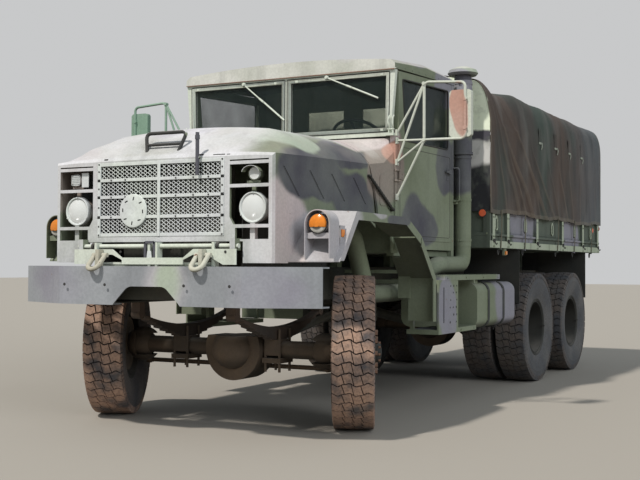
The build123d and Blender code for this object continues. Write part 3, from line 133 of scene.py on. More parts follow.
def setFloor():
    mesh = bpy.data.meshes.new("floor")
    half = studio["half"]
    mesh.from_pydata([(-half, -half, 0), (half, -half, 0), (half, half, 0), (-half, half, 0)], [], [(0, 1, 2, 3)])
    material, tree, shader = newMaterial("floorPaint")
    feed(tree, shader, {"Base Color": studio["floor"], "Roughness": studio["floor rough"]})
    mesh.materials.append(material)
    addObject("floor", mesh)


setCamera()
setLights()
setFloor()

print("stage: finishes")
paintColours = {"green": (116, 124, 101), "black": (74, 73, 82), "brown": (140, 126, 118), "pink": (196, 182, 181),
                "pale": (166, 176, 158), "grey": (134, 132, 142), "ash": (176, 172, 176), "mint": (122, 152, 132),
                "rust": (184, 142, 126)}
speckTone = (38.69, 38.69, 36.42)
# Tone of faces turned down: painted shade under things, with dirt.
undersideShadeAndDirt = (38, 36, 31)
# Camouflage patches: (tone, centre x, distance behind the front axle, z, radius x, radius y, radius z)
patches = [
    ("pink", 0.95, -0.80, 1.36, 0.26, 0.34, 0.40), ("black", 0.95, -0.38, 1.78, 0.32, 0.56, 0.16),
    ("black", 0.95, 0.25, 1.66, 0.26, 0.36, 0.20), ("black", 0.85, 0.15, 1.98, 0.24, 0.46, 0.10),
    ("pale", 0.72, -0.45, 2.02, 0.24, 0.30, 0.16), ("ash", 1.08, -0.50, 1.34, 0.26, 0.26, 0.26),
    ("ash", 1.10, -0.10, 1.53, 0.22, 0.26, 0.05), ("black", 1.12, 0.36, 1.50, 0.20, 0.26, 0.07),
    ("brown", 0.95, 0.72, 1.92, 0.22, 0.24, 0.34), ("pink", 0.70, 0.62, 2.13, 0.42, 0.30, 0.10),
    ("black", 0.98, 1.24, 1.50, 0.20, 0.30, 0.24), ("black", 0.98, 1.49, 1.47, 0.20, 0.24, 0.16),
    ("black", 0.98, 1.90, 2.04, 0.20, 0.24, 0.26), ("black", 1.02, 2.20, 2.04, 0.20, 0.30, 0.28),
    ("pale", 1.02, 2.20, 2.89, 0.26, 0.26, 0.10), ("grey", 0.98, 1.95, 2.72, 0.30, 0.34, 0.20),
    ("grey", 0.60, 1.20, 2.84, 0.50, 0.40, 0.10), ("brown", -0.30, 1.50, 2.86, 0.50, 0.42, 0.12),
    ("grey", 0.90, 2.84, 0.82, 0.50, 0.40, 0.42), ("brown", -0.75, -0.85, 1.75, 0.30, 0.30, 0.28),
    ("grey", -0.10, -0.30, 2.12, 0.40, 0.42, 0.12), ("black", -0.62, 0.20, 2.06, 0.36, 0.40, 0.16),
    ("black", -0.95, -0.30, 1.62, 0.22, 0.46, 0.28), ("brown", -0.98, 1.22, 1.72, 0.22, 0.34, 0.40),
    ("black", -0.98, 1.80, 1.50, 0.22, 0.32, 0.30), ("grey", 1.20, 3.42, 1.56, 0.20, 0.42, 0.30),
    ("grey", 1.20, 5.25, 1.54, 0.20, 0.36, 0.30), ("black", -1.20, 3.20, 1.52, 0.20, 0.60, 0.28),
    ("brown", -1.20, 4.90, 1.52, 0.20, 0.55, 0.28), ("black", 0.10, 6.55, 1.60, 0.60, 0.30, 0.26),
    ("grey", 1.12, 1.33, 0.84, 0.30, 0.22, 0.26), ("rust", 0.95, 0.80, 2.00, 0.12, 0.12, 0.08),
]
bumperPatches = [("ash", 0.15, -1.06, 1.06, 0.15, 0.40, 0.22), ("pale", 0.17, -1.06, 1.07, 0.10, 0.40, 0.16),
                 ("grey", -0.80, -1.05, 1.02, 0.30, 0.40, 0.16), ("grey", 0.92, -1.00, 0.98, 0.22, 0.40, 0.16)]
mirrorPatches = [("rust", 1.525, 0.88, 2.34, 0.085, 0.20, 0.22), ("mint", -1.40, 0.86, 2.35, 0.55, 0.60, 0.90)]
# Painted sunlight, lightening faces turned to the front or up: (tone, most, axis of the normal, its start and end,
# then the ramps of back, z and x)
paintedSunlight = [
    ((214, 214, 218), 0.86, "Y", -0.45, -0.75, (-0.88, -0.90), (1.15, 1.17), None),
    ((214, 212, 218), 0.86, "Z", 0.30, 0.72, (0.52, 0.30), (1.80, 1.90), (0.80, 0.55)),
    ((222, 220, 214), 0.86, "Y", -0.45, -0.75, (0.95, 0.90), (2.66, 2.69), None),
    ((206, 200, 196), 0.55, "Z", 0.45, 0.85, (0.55, 0.60), (1.95, 2.00), None),
]
wobble = {"scale": 1.9, "detail": 2.0, "reach": (0.30, 0.30, 0.30), "offset": (-0.15, -0.15, -0.15)}
paintFinish = {"faded": (158, 165, 150), "blotch": 0.22, "grime": (70, 68, 66), "streak": 0.20, "dust": 0.30,
               "dusty": (178, 170, 160), "chip": 0.745, "under": (120, 92, 74), "rough": 0.82, "bump": 0.12,
               "grain": 90.0, "metal": 0.0, "underShadeAndDirt": 0.6}


class Painter:
    # Lays tones over a base, one layer after another, in one node tree.

    def __init__(self, tree, tone):
        self.tree = tree
        self.tone = tone
        self.coord = self.node("ShaderNodeTexCoord", {})["Object"]

    def node(self, kind, inputs, **settings):
        return addNode(self.tree, kind, inputs, **settings)

    def cloud(self, scale, detail, stretch=(1, 1, 1)):
        at = self.node("ShaderNodeMapping", {"Vector": self.coord, "Scale": stretch})["Vector"]
        return self.node("ShaderNodeTexNoise", {"Vector": at, "Scale": scale, "Detail": detail})["Fac"]

    def ramp(self, source, low, high, start=0.0, end=1.0):
        limits = {"Value": source, "From Min": low, "From Max": high, "To Min": start, "To Max": end}
        return self.node("ShaderNodeMapRange", limits, interpolation_type="SMOOTHSTEP")["Result"]

    def patchy(self, scale, detail, low, high, stretch=(1, 1, 1)):
        return self.ramp(self.cloud(scale, detail, stretch), low, high)

    def math(self, operation, first, second):
        return mathNode(self.tree, operation, first, second)

    def vector(self, operation, *values):
        made = self.node("ShaderNodeVectorMath", dict(enumerate(values)), operation=operation)
        return made["Value" if operation == "LENGTH" else "Vector"]

    def axes(self, source):
        return self.node("ShaderNodeSeparateXYZ", {0: source})

    def normal(self):
        return self.axes(self.node("ShaderNodeNewGeometry", {})["Normal"])

    def mark(self, name):
        return self.node("ShaderNodeAttribute", {}, attribute_name=name)["Fac"]

    def layer(self, mask, tone, amount=None):
        if amount is not None:
            mask = self.math("MULTIPLY", mask, amount)
        self.tone = mixColour(self.tree, mask, self.tone, colour(*tone))

    def close(self, shader, rough, height, strength, distance):
        bump = self.node("ShaderNodeBump", {"Height": height, "Strength": strength, "Distance": distance})
        feed(self.tree, shader, {"Base Color": self.tone, "Roughness": rough, "Normal": bump["Normal"]})


def camouflageGroup(name, ground, spots, sunlitFaces, soft):
    group = bpy.data.node_groups.new(name, "ShaderNodeTree")
    group.interface.new_socket("Colour", in_out="OUTPUT", socket_type="NodeSocketColor")
    paint = Painter(group, colour(*ground))
    cloud = paint.node("ShaderNodeTexNoise",
                       {"Vector": paint.coord, "Scale": wobble["scale"], "Detail": wobble["detail"]})["Color"]
    at = paint.vector("ADD", paint.coord, paint.vector("MULTIPLY_ADD", cloud, wobble["reach"], wobble["offset"]))
    for tone, x, back, z, *radii in spots:
        away = paint.vector("DIVIDE", paint.vector("SUBTRACT", at, place(x, back, z)), radii)
        paint.layer(paint.ramp(paint.vector("LENGTH", away), 1 - soft, 1 + soft, 1.0, 0.0), paintColours[tone])
    facing, at = paint.normal(), paint.axes(paint.coord)
    uneven = paint.ramp(paint.cloud(3.2, 6.0), 0.25, 0.6, 0.62, 1.0)
    # Faces turned to the front or up are lightened here: painted sunlight.
    for white, most, axis, start, end, backs, heights, sides in sunlitFaces:
        mask = paint.math("MULTIPLY", paint.ramp(facing[axis], start, end), uneven)
        for key, limits in (("Y", [frontAxleY + back for back in backs]), ("Z", heights), ("X", sides)):
            if limits:
                mask = paint.math("MULTIPLY", mask, paint.ramp(at[key], *limits))
        paint.layer(mask, white, most)
    feed(group, group.nodes.new("NodeGroupOutput"), {0: paint.tone})
    return group


def weather(tree, shader, base, finish):
    # Blotches, streaks, dust on what faces up, dirt and painted shade underneath, and chips, over a base colour.
    paint = Painter(tree, base)
    paint.layer(paint.patchy(2.2, 5.0, 0.3, 0.7), finish["faded"], finish["blotch"])
    paint.layer(paint.patchy(55.0, 3.0, 0.35, 0.65), speckTone, 0.10)
    paint.layer(paint.patchy(9.0, 4.0, 0.52, 0.74, (1, 1, 0.09)), finish["grime"], finish["streak"])
    level = paint.normal()["Z"]
    settled = paint.math("MULTIPLY", paint.ramp(level, 0.35, 0.95), paint.patchy(4.0, 6.0, 0.25, 0.75))
    paint.layer(settled, finish["dusty"], finish["dust"])
    # Faces turned down darken: painted shade under things, with dirt.
    paint.layer(paint.ramp(level, -0.25, -0.75), undersideShadeAndDirt, finish["underShadeAndDirt"])
    paint.layer(paint.patchy(17.0, 8.0, finish["chip"], finish["chip"] + 0.02), finish["under"])
    rough = paint.ramp(paint.cloud(12.0, 4.0), 0.3, 0.7, finish["rough"] - 0.07, finish["rough"] + 0.07)
    paint.close(shader, rough, paint.cloud(finish["grain"], 5.0), finish["bump"], 0.003)
    feed(tree, shader, {"Metallic": finish["metal"]})


def camoPaint(name, ground, spots, sunlitFaces=(), soft=0.10, **changes):
    material, tree, shader = newMaterial(name)
    group = tree.nodes.new("ShaderNodeGroup")
    group.node_tree = camouflageGroup(name + "Patches", ground, spots, sunlitFaces, soft)
    weather(tree, shader, group.outputs[0], dict(paintFinish, **changes))
    return material


def plainFinish(name, base, **changes):
    material, tree, shader = newMaterial(name)
    weather(tree, shader, colour(*base), dict(paintFinish, **changes))
    return material


def glassFinish(name, base, alpha, rough=0.06):
    material, tree, shader = newMaterial(name)
    paint = Painter(tree, colour(*base))
    feed(tree, shader, {"Base Color": paint.tone,
                        "Roughness": paint.ramp(paint.cloud(6.0, 6.0), 0.35, 0.8, rough, rough + 0.3),
                        "Alpha": paint.ramp(paint.cloud(3.0, 5.0), 0.35, 0.75, alpha, alpha + 0.16)})
    return material


lensFinish = {"chip": 0.99, "dust": 0.1, "streak": 0.05, "bump": 0.02}
webFinish = {"blotch": 0.4, "chip": 0.99, "dust": 0.2, "bump": 0.5, "grain": 260}
finishes = {
    # The truck's camouflage, with painted sunlight on faces turned to the front or up.
    "camo": camoPaint("camoPaint", paintColours["green"], patches, paintedSunlight),
    "bumper": camoPaint("bumperPaint", (136, 139, 143), bumperPatches, soft=0.45, faded=(164, 167, 171), blotch=0.5,
                        streak=0.3, grime=(100, 101, 105)),
    # A darker copy of the camouflage for the bed and its sides: painted shade.
    "bed": camoPaint("bedPaint", (82, 91, 80), patches, faded=(106, 112, 100), grime=(54, 56, 52), streak=0.4),
    "mirrorPaint": camoPaint("mirrorPaint", (196, 200, 186), mirrorPatches, faded=(210, 210, 204), dust=0.2),
    "palePaint": plainFinish("palePaint", (200, 207, 192), faded=(214, 217, 208), blotch=0.5, grime=(110, 104, 94),
                             dust=0.2, chip=0.73, under=(128, 98, 80)),
    "frame": plainFinish("framePaint", (52, 54, 48), dust=0.5, faded=(96, 88, 74), blotch=0.5, chip=0.72),
    "axle": plainFinish("axleDirt", (74, 64, 54), dust=0.55, faded=(118, 98, 78), blotch=0.65, grain=40, bump=0.4),
    "spring": plainFinish("springSteel", (62, 54, 48), faded=(104, 82, 64), blotch=0.6, bump=0.3),
    "engine": plainFinish("engineIron", (66, 68, 62), faded=(88, 80, 70), blotch=0.4, rough=0.7),
    "shackle": plainFinish("shacklePaint", (190, 189, 174), faded=(158, 148, 128), blotch=0.5, chip=0.66, bump=0.4,
                           under=(104, 62, 40), grain=60),
    "wheel": plainFinish("wheelPaint", (44, 46, 43), faded=(66, 62, 56), blotch=0.5, dust=0.35),
    "hub": plainFinish("hubPaint", (124, 92, 74), faded=(146, 120, 100), blotch=0.5, bump=0.4),
    "rubber": plainFinish("flapRubber", (44, 46, 44), faded=(80, 76, 68), blotch=0.4, chip=0.95, dust=0.3),
    "dark": plainFinish("darkSteel", (46, 46, 46), faded=(70, 66, 60), blotch=0.4, chip=0.8, dust=0.3),
    "inside": plainFinish("cabPaint", (84, 94, 78), faded=(104, 106, 92), blotch=0.3, dust=0.25),
    "plastic": plainFinish("gripPlastic", (30, 30, 30), faded=(50, 48, 46), chip=0.95, rough=0.5, dust=0.15),
    "glass": glassFinish("cabGlass", (40, 50, 48), 0.26),
    "lens": glassFinish("lampLens", (240, 242, 240), 0.58, 0.03),
    "amber": plainFinish("amberLens", (224, 128, 34), faded=(240, 160, 70), blotch=0.25, rough=0.22, **lensFinish),
    "red": plainFinish("redLens", (206, 62, 30), faded=(226, 90, 50), blotch=0.25, rough=0.25, **lensFinish),
    "frosted": plainFinish("clearSignalLens", (222, 220, 212), faded=(236, 232, 220), blotch=0.3, rough=0.25,
                           **lensFinish),
    "reflex": plainFinish("reflexOrange", (255, 92, 22), rough=0.25, dust=0.0, bump=0.0),
    "reflector": plainFinish("lampReflector", (214, 216, 220), faded=(230, 232, 236), blotch=0.3, chip=0.99,
                             dust=0.05, streak=0.05, rough=0.22, bump=0.05, metal=0.85),
    "mirrorGlass": plainFinish("mirrorGlass", (190, 196, 200), rough=0.06, metal=1.0, dust=0.1, bump=0.0),
    "webbing": plainFinish("strapWebbing", (92, 88, 72), faded=(126, 120, 104), **webFinish),
    "tabEdge": plainFinish("tabEdgeWebbing", (150, 156, 142), faded=(176, 178, 164), **webFinish),
    "bleached": plainFinish("bleachedPaint", (204, 206, 208), faded=(216, 226, 212), blotch=0.55, streak=0.22,
                            grime=(142, 134, 138), dust=0.15, dusty=(214, 206, 200), chip=0.76),
    "blackPaint": plainFinish("blackPatchPaint", (78, 78, 86), faded=(104, 102, 108), blotch=0.3, chip=0.9),
    # Near-black for holes, slots and gaps: painted shade where they open into the dark.
    "hollowShade": plainFinish("darkHollow", (20, 20, 22), faded=(30, 30, 30), chip=0.99, dust=0.05, streak=0.02),
    "rustEdge": plainFinish("rustEdge", (122, 92, 78), faded=(150, 118, 100), blotch=0.5, dust=0.2),
    "gauge": plainFinish("gaugeFace", (214, 214, 206), dust=0.1),
    "seatCloth": plainFinish("seatCloth", (74, 80, 68), faded=(92, 96, 82), blotch=0.5, rough=0.95),
    "bedPale": plainFinish("bedPale", (158, 168, 146), faded=(184, 188, 172), blotch=0.5, grime=(84, 84, 76),
                           streak=0.5, dust=0.25),
    "tankStrap": plainFinish("tankStrap", (58, 60, 58), faded=(84, 86, 82), blotch=0.4, dust=0.2),
}
nodeFinish = {
    "bumper": ["front_bumper"],
    "palePaint": ["windshield_frame", "hood_hinge_tube"],
    "mirrorPaint": ["mirrors"],
    "bed": ["cargo_bed", "cargo_sides"],
    "camo": ["hood_shell", "front_fenders", "fender_tails", "cab_tub", "cab_roof", "door_left", "door_right",
             "intake_stack", "fuel_tank", "tailgate", "grille", "side_steps", "battery_box", "signal_lamps"],
    "frame": ["frame", "exhaust_stack", "rear_lamps", "pintle_hook", "driveline"],
    "axle": ["front_axle", "rear_axle_forward", "rear_axle_rearward", "knuckle_left", "knuckle_right", "tie_rod"],
    "spring": ["front_springs", "rear_suspension", "cover_bows"],
    "engine": ["engine", "radiator"],
    "shackle": ["tow_shackles"],
    "wheel": [name for name in nodes if name.startswith("rim")],
    "rubber": ["mud_flaps"] + [name for name in nodes if name.startswith("tyre")],
    "inside": ["dashboard", "seat_bases", "seat_cushions"],
    "plastic": ["steering_wheel"],
    "glass": ["cab_glass", "door_glass_left", "door_glass_right"],
    "lens": ["headlamps"],
    "dark": ["canvas_cover"],
}
for finishName, members in nodeFinish.items():
    for member in members:
        nodes[member].data.materials.clear()
        nodes[member].data.materials.append(finishes[finishName])

print("stage: tools for the pieces")
weld = 0.00002


def finishPiece(name, bm, finish, body="chassis", smooth=40, stands=None):
    # Makes one object of a bmesh, with smooth faces except across sharp edges.
    bmesh.ops.remove_doubles(bm, verts=bm.verts, dist=weld)
    bmesh.ops.recalc_face_normals(bm, faces=bm.faces)
    mesh = bpy.data.meshes.new(name)
    for edge in bm.edges:
        if len(edge.link_faces) == 2 and edge.calc_face_angle(0) > radians(smooth):
            edge.smooth = False
    for face in bm.faces:
        face.smooth = smooth > 0
    bm.to_mesh(mesh)
    bm.free()
    piece = addObject(name, mesh)
    mesh.materials.append(finishes[finish])
    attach(piece, body)
    if stands:
        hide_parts(stands)
    return piece


def looseObject(name, bm):
    # An object that only Geometry Nodes repeat.
    bmesh.ops.recalc_face_normals(bm, faces=bm.faces)
    mesh = bpy.data.meshes.new(name)
    bm.to_mesh(mesh)
    bm.free()
    return bpy.data.objects.new(name, mesh)


def addVerts(bm, points):
    return [bm.verts.new(point) for point in points]


def bridge(bm, rows, wrap=True):
    # Faces between neighbouring rows of vertices.
    for first, second in zip(rows, rows[1:]):
        count = len(first)
        for k in range(count if wrap else count - 1):
            m = (k + 1) % count
            corners = list(dict.fromkeys((first[k], first[m], second[m], second[k])))
            if len(corners) > 2:
                bm.faces.new(corners)


def circle(centre, across, up, radius, count):
    return [centre + (across * cos(2 * pi * k / count) + up * sin(2 * pi * k / count)) * radius
            for k in range(count)]


def addBox(bm, xs, backs, zs):
    made = addVerts(bm, [place(x, back, z) for x in xs for back in backs for z in zs])
    for face in ((0, 1, 3, 2), (4, 6, 7, 5), (0, 4, 5, 1), (2, 3, 7, 6), (0, 2, 6, 4), (1, 5, 7, 3)):
        bm.faces.new([made[i] for i in face])


def addPrism(bm, outline, depth):
    # A plate from an outline of points and the vector through its thickness.
    front = addVerts(bm, outline)
    back = addVerts(bm, [point + depth for point in outline])
    bm.faces.new(front)
    bm.faces.new(back[::-1])
    for i in range(len(front)):
        j = (i + 1) % len(front)
        bm.faces.new((front[i], back[i], back[j], front[j]))


def addTube(bm, path, radius, sides=10):
    # The radius may be a list, with one value for each point of the path.
    across = (path[1] - path[0]).orthogonal().normalized()
    rings = []
    for i, point in enumerate(path):
        ahead = (path[min(i + 1, len(path) - 1)] - path[max(i - 1, 0)]).normalized()
        across = (across - ahead * across.dot(ahead)).normalized()
        size = radius[i] if isinstance(radius, list) else radius
        rings.append(addVerts(bm, circle(point, across, ahead.cross(across), size, sides)))
    bridge(bm, rings)
    bm.faces.new(rings[0][::-1])
    bm.faces.new(rings[-1])


def addLathe(bm, profile, centre, axis, steps=48, closed=False):
    # Turns (along, radius) points about an axis through the centre.
    axis = Vector(axis)
    start = axis.orthogonal().normalized()
    rings = []
    for along, radius in profile:
        if radius:
            rings.append(addVerts(bm, circle(centre + axis * along, start, axis.cross(start), radius, steps)))
        else:
            rings.append(addVerts(bm, [centre + axis * along]) * steps)
    bridge(bm, rings + rings[:1] if closed else rings)


def addLoop(bm, points, normal, radius, sides=8):
    # A closed tube through the points of a flat loop.
    rings = []
    for i, point in enumerate(points):
        ahead = (points[(i + 1) % len(points)] - points[i - 1]).normalized()
        rings.append(addVerts(bm, circle(point, ahead.cross(normal).normalized(), normal, radius, sides)))
    bridge(bm, rings + rings[:1])


def smoothPath(points, steps):
    # A Catmull-Rom curve through the points.
    ends = [points[0] * 2 - points[1]] + points + [points[-1] * 2 - points[-2]]
    path = []
    for i in range(1, len(ends) - 2):
        a, b, c, d = ends[i - 1:i + 3]
        for t in (step / steps for step in range(steps)):
            path.append(0.5 * (2 * b + (c - a) * t + (2 * a - 5 * b + 4 * c - d) * t * t
                               + (3 * b - a - 3 * c + d) * t ** 3))
    return path + points[-1:]


def bentPath(points, radius, steps=5):
    # Straight runs joined by arcs, as a bent rod has.
    path = [points[0]]
    for before, corner, after in zip(points, points[1:], points[2:]):
        a, b = (before - corner).normalized(), (after - corner).normalized()
        reach = min(radius / max(0.2, (1 + a.dot(b)) ** 0.5), (before - corner).length * 0.45,
                    (after - corner).length * 0.45)
        for t in (i / steps for i in range(steps + 1)):
            path.append((corner + a * reach) * (1 - t) ** 2 + corner * 2 * t * (1 - t)
                        + (corner + b * reach) * t * t)
    return path + points[-1:]


def roundedLoop(corners, radius, steps=4):
    points = []
    for i, corner in enumerate(corners):
        before = (corners[i - 1] - corner).normalized() * radius
        after = (corners[(i + 1) % len(corners)] - corner).normalized() * radius
        points += [corner + before * (1 - t) ** 2 + after * t ** 2 for t in (k / steps for k in range(steps + 1))]
    return points


def placeAll(points, side):
    return [place(side * x, back, z) for x, back, z in points]


# The shapes below are given on the truck's left as (x, back, z). makePiece builds them on each side that it is told.
def box(xs, backs, zs):
    return lambda bm, side: addBox(bm, [side * x for x in xs], backs, zs)


def slab(points, depth, rounding=0):
    def add(bm, side):
        outline = placeAll(points, side)
        addPrism(bm, roundedLoop(outline, rounding) if rounding else outline,
                 Vector((side * depth[0], depth[1], depth[2])))
    return add


def tube(radius, sides, *points, steps=0):
    def add(bm, side):
        path = placeAll(points, side)
        addTube(bm, smoothPath(path, steps) if steps else path, radius, sides)
    return add


def ring(points, normal, radius, rounding=0, sides=8):
    def add(bm, side):
        path = placeAll(points, side)
        addLoop(bm, roundedLoop(path, rounding) if rounding else path, Vector(normal), radius, sides)
    return add


def turned(centre, axis, profile, steps, closed=False):
    return lambda bm, side: addLathe(bm, profile, placeAll([centre], side)[0], (side * axis[0], axis[1], axis[2]),
                                     steps, closed)


def band(centre, axis, low, high, inner, outer, steps):
    profile = [(low, inner), (low, outer), (high, outer), (high, inner)]
    return turned(centre, axis, profile, steps, inner > 0)


def on(wanted, shape):
    return lambda bm, side: side == wanted and shape(bm, side)


def makePiece(name, shapes, finish, body="chassis", slot="camo_paint", smooth=40, sides=(-1, 1), stands=None):
    bm = bmesh.new()
    for side in sides:
        for shape in shapes:
            shape(bm, side)
    return finishPiece(name, bm, finish, body, smooth, stands)


def newTree(name, **inputs):
    tree = bpy.data.node_groups.new(name, "GeometryNodeTree")
    for label, kind in dict(Geometry="Geometry", Material="Material", **inputs).items():
        tree.interface.new_socket(label, in_out="INPUT", socket_type="NodeSocket" + kind)
    tree.interface.new_socket("Geometry", in_out="OUTPUT", socket_type="NodeSocketGeometry")
    return tree, tree.nodes.new("NodeGroupInput").outputs


def endTree(tree, given, *geometry):
    # Joins the geometry, makes it real and gives it its material.
    both = tree.nodes.new("GeometryNodeJoinGeometry")
    for part in geometry:
        tree.links.new(part, both.inputs[0])
    real = addNode(tree, "GeometryNodeRealizeInstances", {"Geometry": both.outputs[0]})[0]
    painted = addNode(tree, "GeometryNodeSetMaterial", {"Geometry": real, "Material": given["Material"]})[0]
    feed(tree, tree.nodes.new("NodeGroupOutput"), {"Geometry": painted})
    return tree


def onPoints(tree, points, instance, rotation):
    return addNode(tree, "GeometryNodeInstanceOnPoints",
                   {"Points": points, "Instance": instance, "Rotation": rotation})["Instances"]


def applyTree(piece, tree, **values):
    # Runs a tree on a piece and keeps the result as a plain mesh.
    modifier = piece.modifiers.new(tree.name, "NODES")
    modifier.node_group = tree
    for item in tree.interface.items_tree:
        if item.in_out == "INPUT" and item.name in values:
            modifier[item.identifier] = values[item.name]
    bpy.context.view_layer.update()
    shaped = bpy.data.meshes.new_from_object(piece.evaluated_get(bpy.context.evaluated_depsgraph_get()))
    piece.modifiers.clear()
    shaped.name = piece.name
    piece.data = shaped


def boltTree():
    # A hexagon head on a washer at each point, standing along the point's facing.
    tree, given = newTree("boltHeads", HeadRadius="Float", HeadHeight="Float", WasherRadius="Float")
    head = addNode(tree, "GeometryNodeMeshCylinder",
                   {"Vertices": 6, "Radius": given["HeadRadius"], "Depth": given["HeadHeight"]})["Mesh"]
    washer = addNode(tree, "GeometryNodeMeshCylinder",
                     {"Vertices": 14, "Radius": given["WasherRadius"], "Depth": 0.003})["Mesh"]
    lift = addNode(tree, "ShaderNodeCombineXYZ", {"Z": mathNode(tree, "MULTIPLY", given["HeadHeight"], 0.5)})[0]
    raised = addNode(tree, "GeometryNodeTransform", {"Geometry": head, "Translation": lift})[0]
    both = tree.nodes.new("GeometryNodeJoinGeometry")
    for part in (washer, raised):
        tree.links.new(part, both.inputs[0])
    facing = addNode(tree, "GeometryNodeInputNamedAttribute", {"Name": "facing"}, data_type="FLOAT_VECTOR")
    turn = addNode(tree, "FunctionNodeAlignRotationToVector", {"Vector": facing["Attribute"]}, axis="Z")[0]
    return endTree(tree, given, onPoints(tree, given["Geometry"], both.outputs[0], turn))


bolts = boltTree()


def spotsOn(xs, backs, zs, facing, sides=(-1, 1)):
    # Each combination of the places on each side, with the way that a bolt there faces.
    return [(place(side * x, back, z), (side * facing[0], facing[1], facing[2]))
            for side in sides for x in xs for back in backs for z in zs]


def addBolts(name, spots, finish, size, body="chassis"):
    # size is the radius and height of the head and the radius of the washer.
    mesh = bpy.data.meshes.new(name)
    mesh.from_pydata([tuple(point) for point, facing in spots], [], [])
    directions = mesh.attributes.new("facing", "FLOAT_VECTOR", "POINT")
    for i, (point, facing) in enumerate(spots):
        directions.data[i].vector = facing
    piece = addObject(name, mesh)
    head, height, washer = size
    applyTree(piece, bolts, HeadRadius=head, HeadHeight=height, WasherRadius=washer, Material=finishes[finish])
    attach(piece, body)
    return piece


print("stage: tyres")
tyre = {"radius": 0.545, "halfTread": 0.140, "pitches": 46, "groove": 0.009, "sipe": 0.006, "depth": 0.017,
        "slant": 0.020, "columns": (-0.140, -0.066, -0.002, 0.062, 0.140), "shoulder": 0.13, "inset": 0.0012,
        "lip": 0.0035, "crown": 0.3, "waves": ((0.011, 6.6), (0.004, 15.0)), "steps": 96,
        "bars": ((0.10, 0.46), (0.56, 0.90)),
        "bar": ((0.139, 0.5345), (0.1462, 0.515), (0.1468, 0.494), (0.139, 0.492), (0.134, 0.52))}
# How much mud each part carries, in the attribute that the rubber reads; the groove value also marks the groove
# bottoms, which get painted shade
treadMarks = {"wall": 0.0, "groove": 0.10, "bar": 0.8, "edge": 0.9, "top": 1.0, "reach": 0.522}
tyreProfile = [(0.096, 0.262), (0.104, 0.272), (0.112, 0.284), (0.119, 0.300), (0.122, 0.312), (0.126, 0.318),
               (0.134, 0.345), (0.1415, 0.385), (0.1455, 0.420), (0.1462, 0.440), (0.1475, 0.444), (0.1475, 0.450),
               (0.1455, 0.455), (0.1445, 0.475), (0.1415, 0.500), (0.1385, 0.514), (0.133, 0.524), (0.10, 0.5275),
               (0.05, 0.5285), (0, 0.529)]
pitch = 2 * pi * tyre["radius"] / tyre["pitches"]
rubberTones = {"tyreFront": ("tyreFrontRubber", (168, 136, 116), 0.90, (66, 66, 70), (104, 96, 92)),
               "tyreRear": ("tyreRearRubber", (104, 88, 76), 0.5, (72, 74, 78), (96, 95, 94))}
fineMud, grooveShade = (58, 46, 38), (34, 29, 26)


def tyreMaterial(name, mud, mudAmount, wall, dustTone):
    material, tree, shader = newMaterial(name)
    paint = Painter(tree, colour(*wall))
    tread = paint.mark("tread")
    paint.layer(paint.patchy(3.5, 5.0, 0.3, 0.7), dustTone)
    muddy = paint.math("MULTIPLY", paint.patchy(7.0, 6.0, 0.28, 0.62), mudAmount)
    paint.layer(paint.math("MULTIPLY", tread, muddy), mud)
    paint.layer(paint.patchy(60.0, 6.0, 0.42, 0.66), fineMud, 0.35)
    shallow = paint.math("SUBTRACT", 1.0, paint.ramp(tread, 0.25, 0.5))
    # Groove bottoms darken: painted shade in the grooves.
    paint.layer(paint.math("MULTIPLY", paint.ramp(tread, 0.05, 0.12), shallow), grooveShade, 0.75)
    paint.close(shader, 0.9, paint.cloud(70.0, 8.0), 0.5, 0.004)
    return material


for key, settings in rubberTones.items():
    finishes[key] = tyreMaterial(*settings)


def treadVert(bm, layer, across, radius, along, mark):
    angle = along / tyre["radius"]
    vert = bm.verts.new((across, -radius * sin(angle), radius * cos(angle)))
    vert[layer] = mark
    return vert


def addTreadBlock(bm, layer, left, right):
    # One block of the tread, between two slanted sipes and two zigzag grooves.
    def edge(across, inner, sign, shift):
        slit = sign * tyre["sipe"] / 2 + shift if abs(across) < tyre["shoulder"] else 0
        return across + slit + inner * sign * tyre["inset"]

    outlines = []
    for inner in (0, 1):
        outline = []
        for along, inward in ((tyre["groove"] / 2, 1), (pitch - tyre["groove"] / 2, -1)):
            shift = tyre["slant"] * (along / pitch - 0.5)
            a, b = edge(left, inner, 1, shift), edge(right, inner, -1, shift)
            for across in [a + (b - a) * k / 4 for k in range(5)][::inward]:
                share = across / tyre["halfTread"]
                wave = sum(size * sin(share * rate) for size, rate in tyre["waves"])
                outline.append((across, along + wave + inner * inward * tyre["inset"]))
        outlines.append(outline)
    rings = []
    for outline, drop, mark in ((outlines[0], tyre["depth"], "groove"), (outlines[0], tyre["lip"], "edge"),
                                (outlines[1], 0.0, "top")):
        rings.append([treadVert(bm, layer, across, tyre["radius"] - tyre["crown"] * across * across - drop, along,
                                treadMarks[mark]) for across, along in outline])
    bridge(bm, rings)
    half = len(rings[-1]) // 2
    bridge(bm, [rings[-1][:half], rings[-1][:half - 1:-1]], wrap=False)


def treadPitch():
    # All the blocks of one pitch, with the shoulder bars that run down the sidewall.
    bm = bmesh.new()
    layer = bm.verts.layers.float.new("tread")
    for left, right in zip(tyre["columns"], tyre["columns"][1:]):
        addTreadBlock(bm, layer, left, right)
    for side in (-1, 1):
        for bar in tyre["bars"]:
            ends = [[treadVert(bm, layer, side * across, radius, share * pitch, treadMarks["bar"])
                     for across, radius in tyre["bar"]] for share in bar]
            bridge(bm, ends)
            bm.faces.new(ends[0])
            bm.faces.new(ends[1][::-1])
    return looseObject("treadPitch", bm)


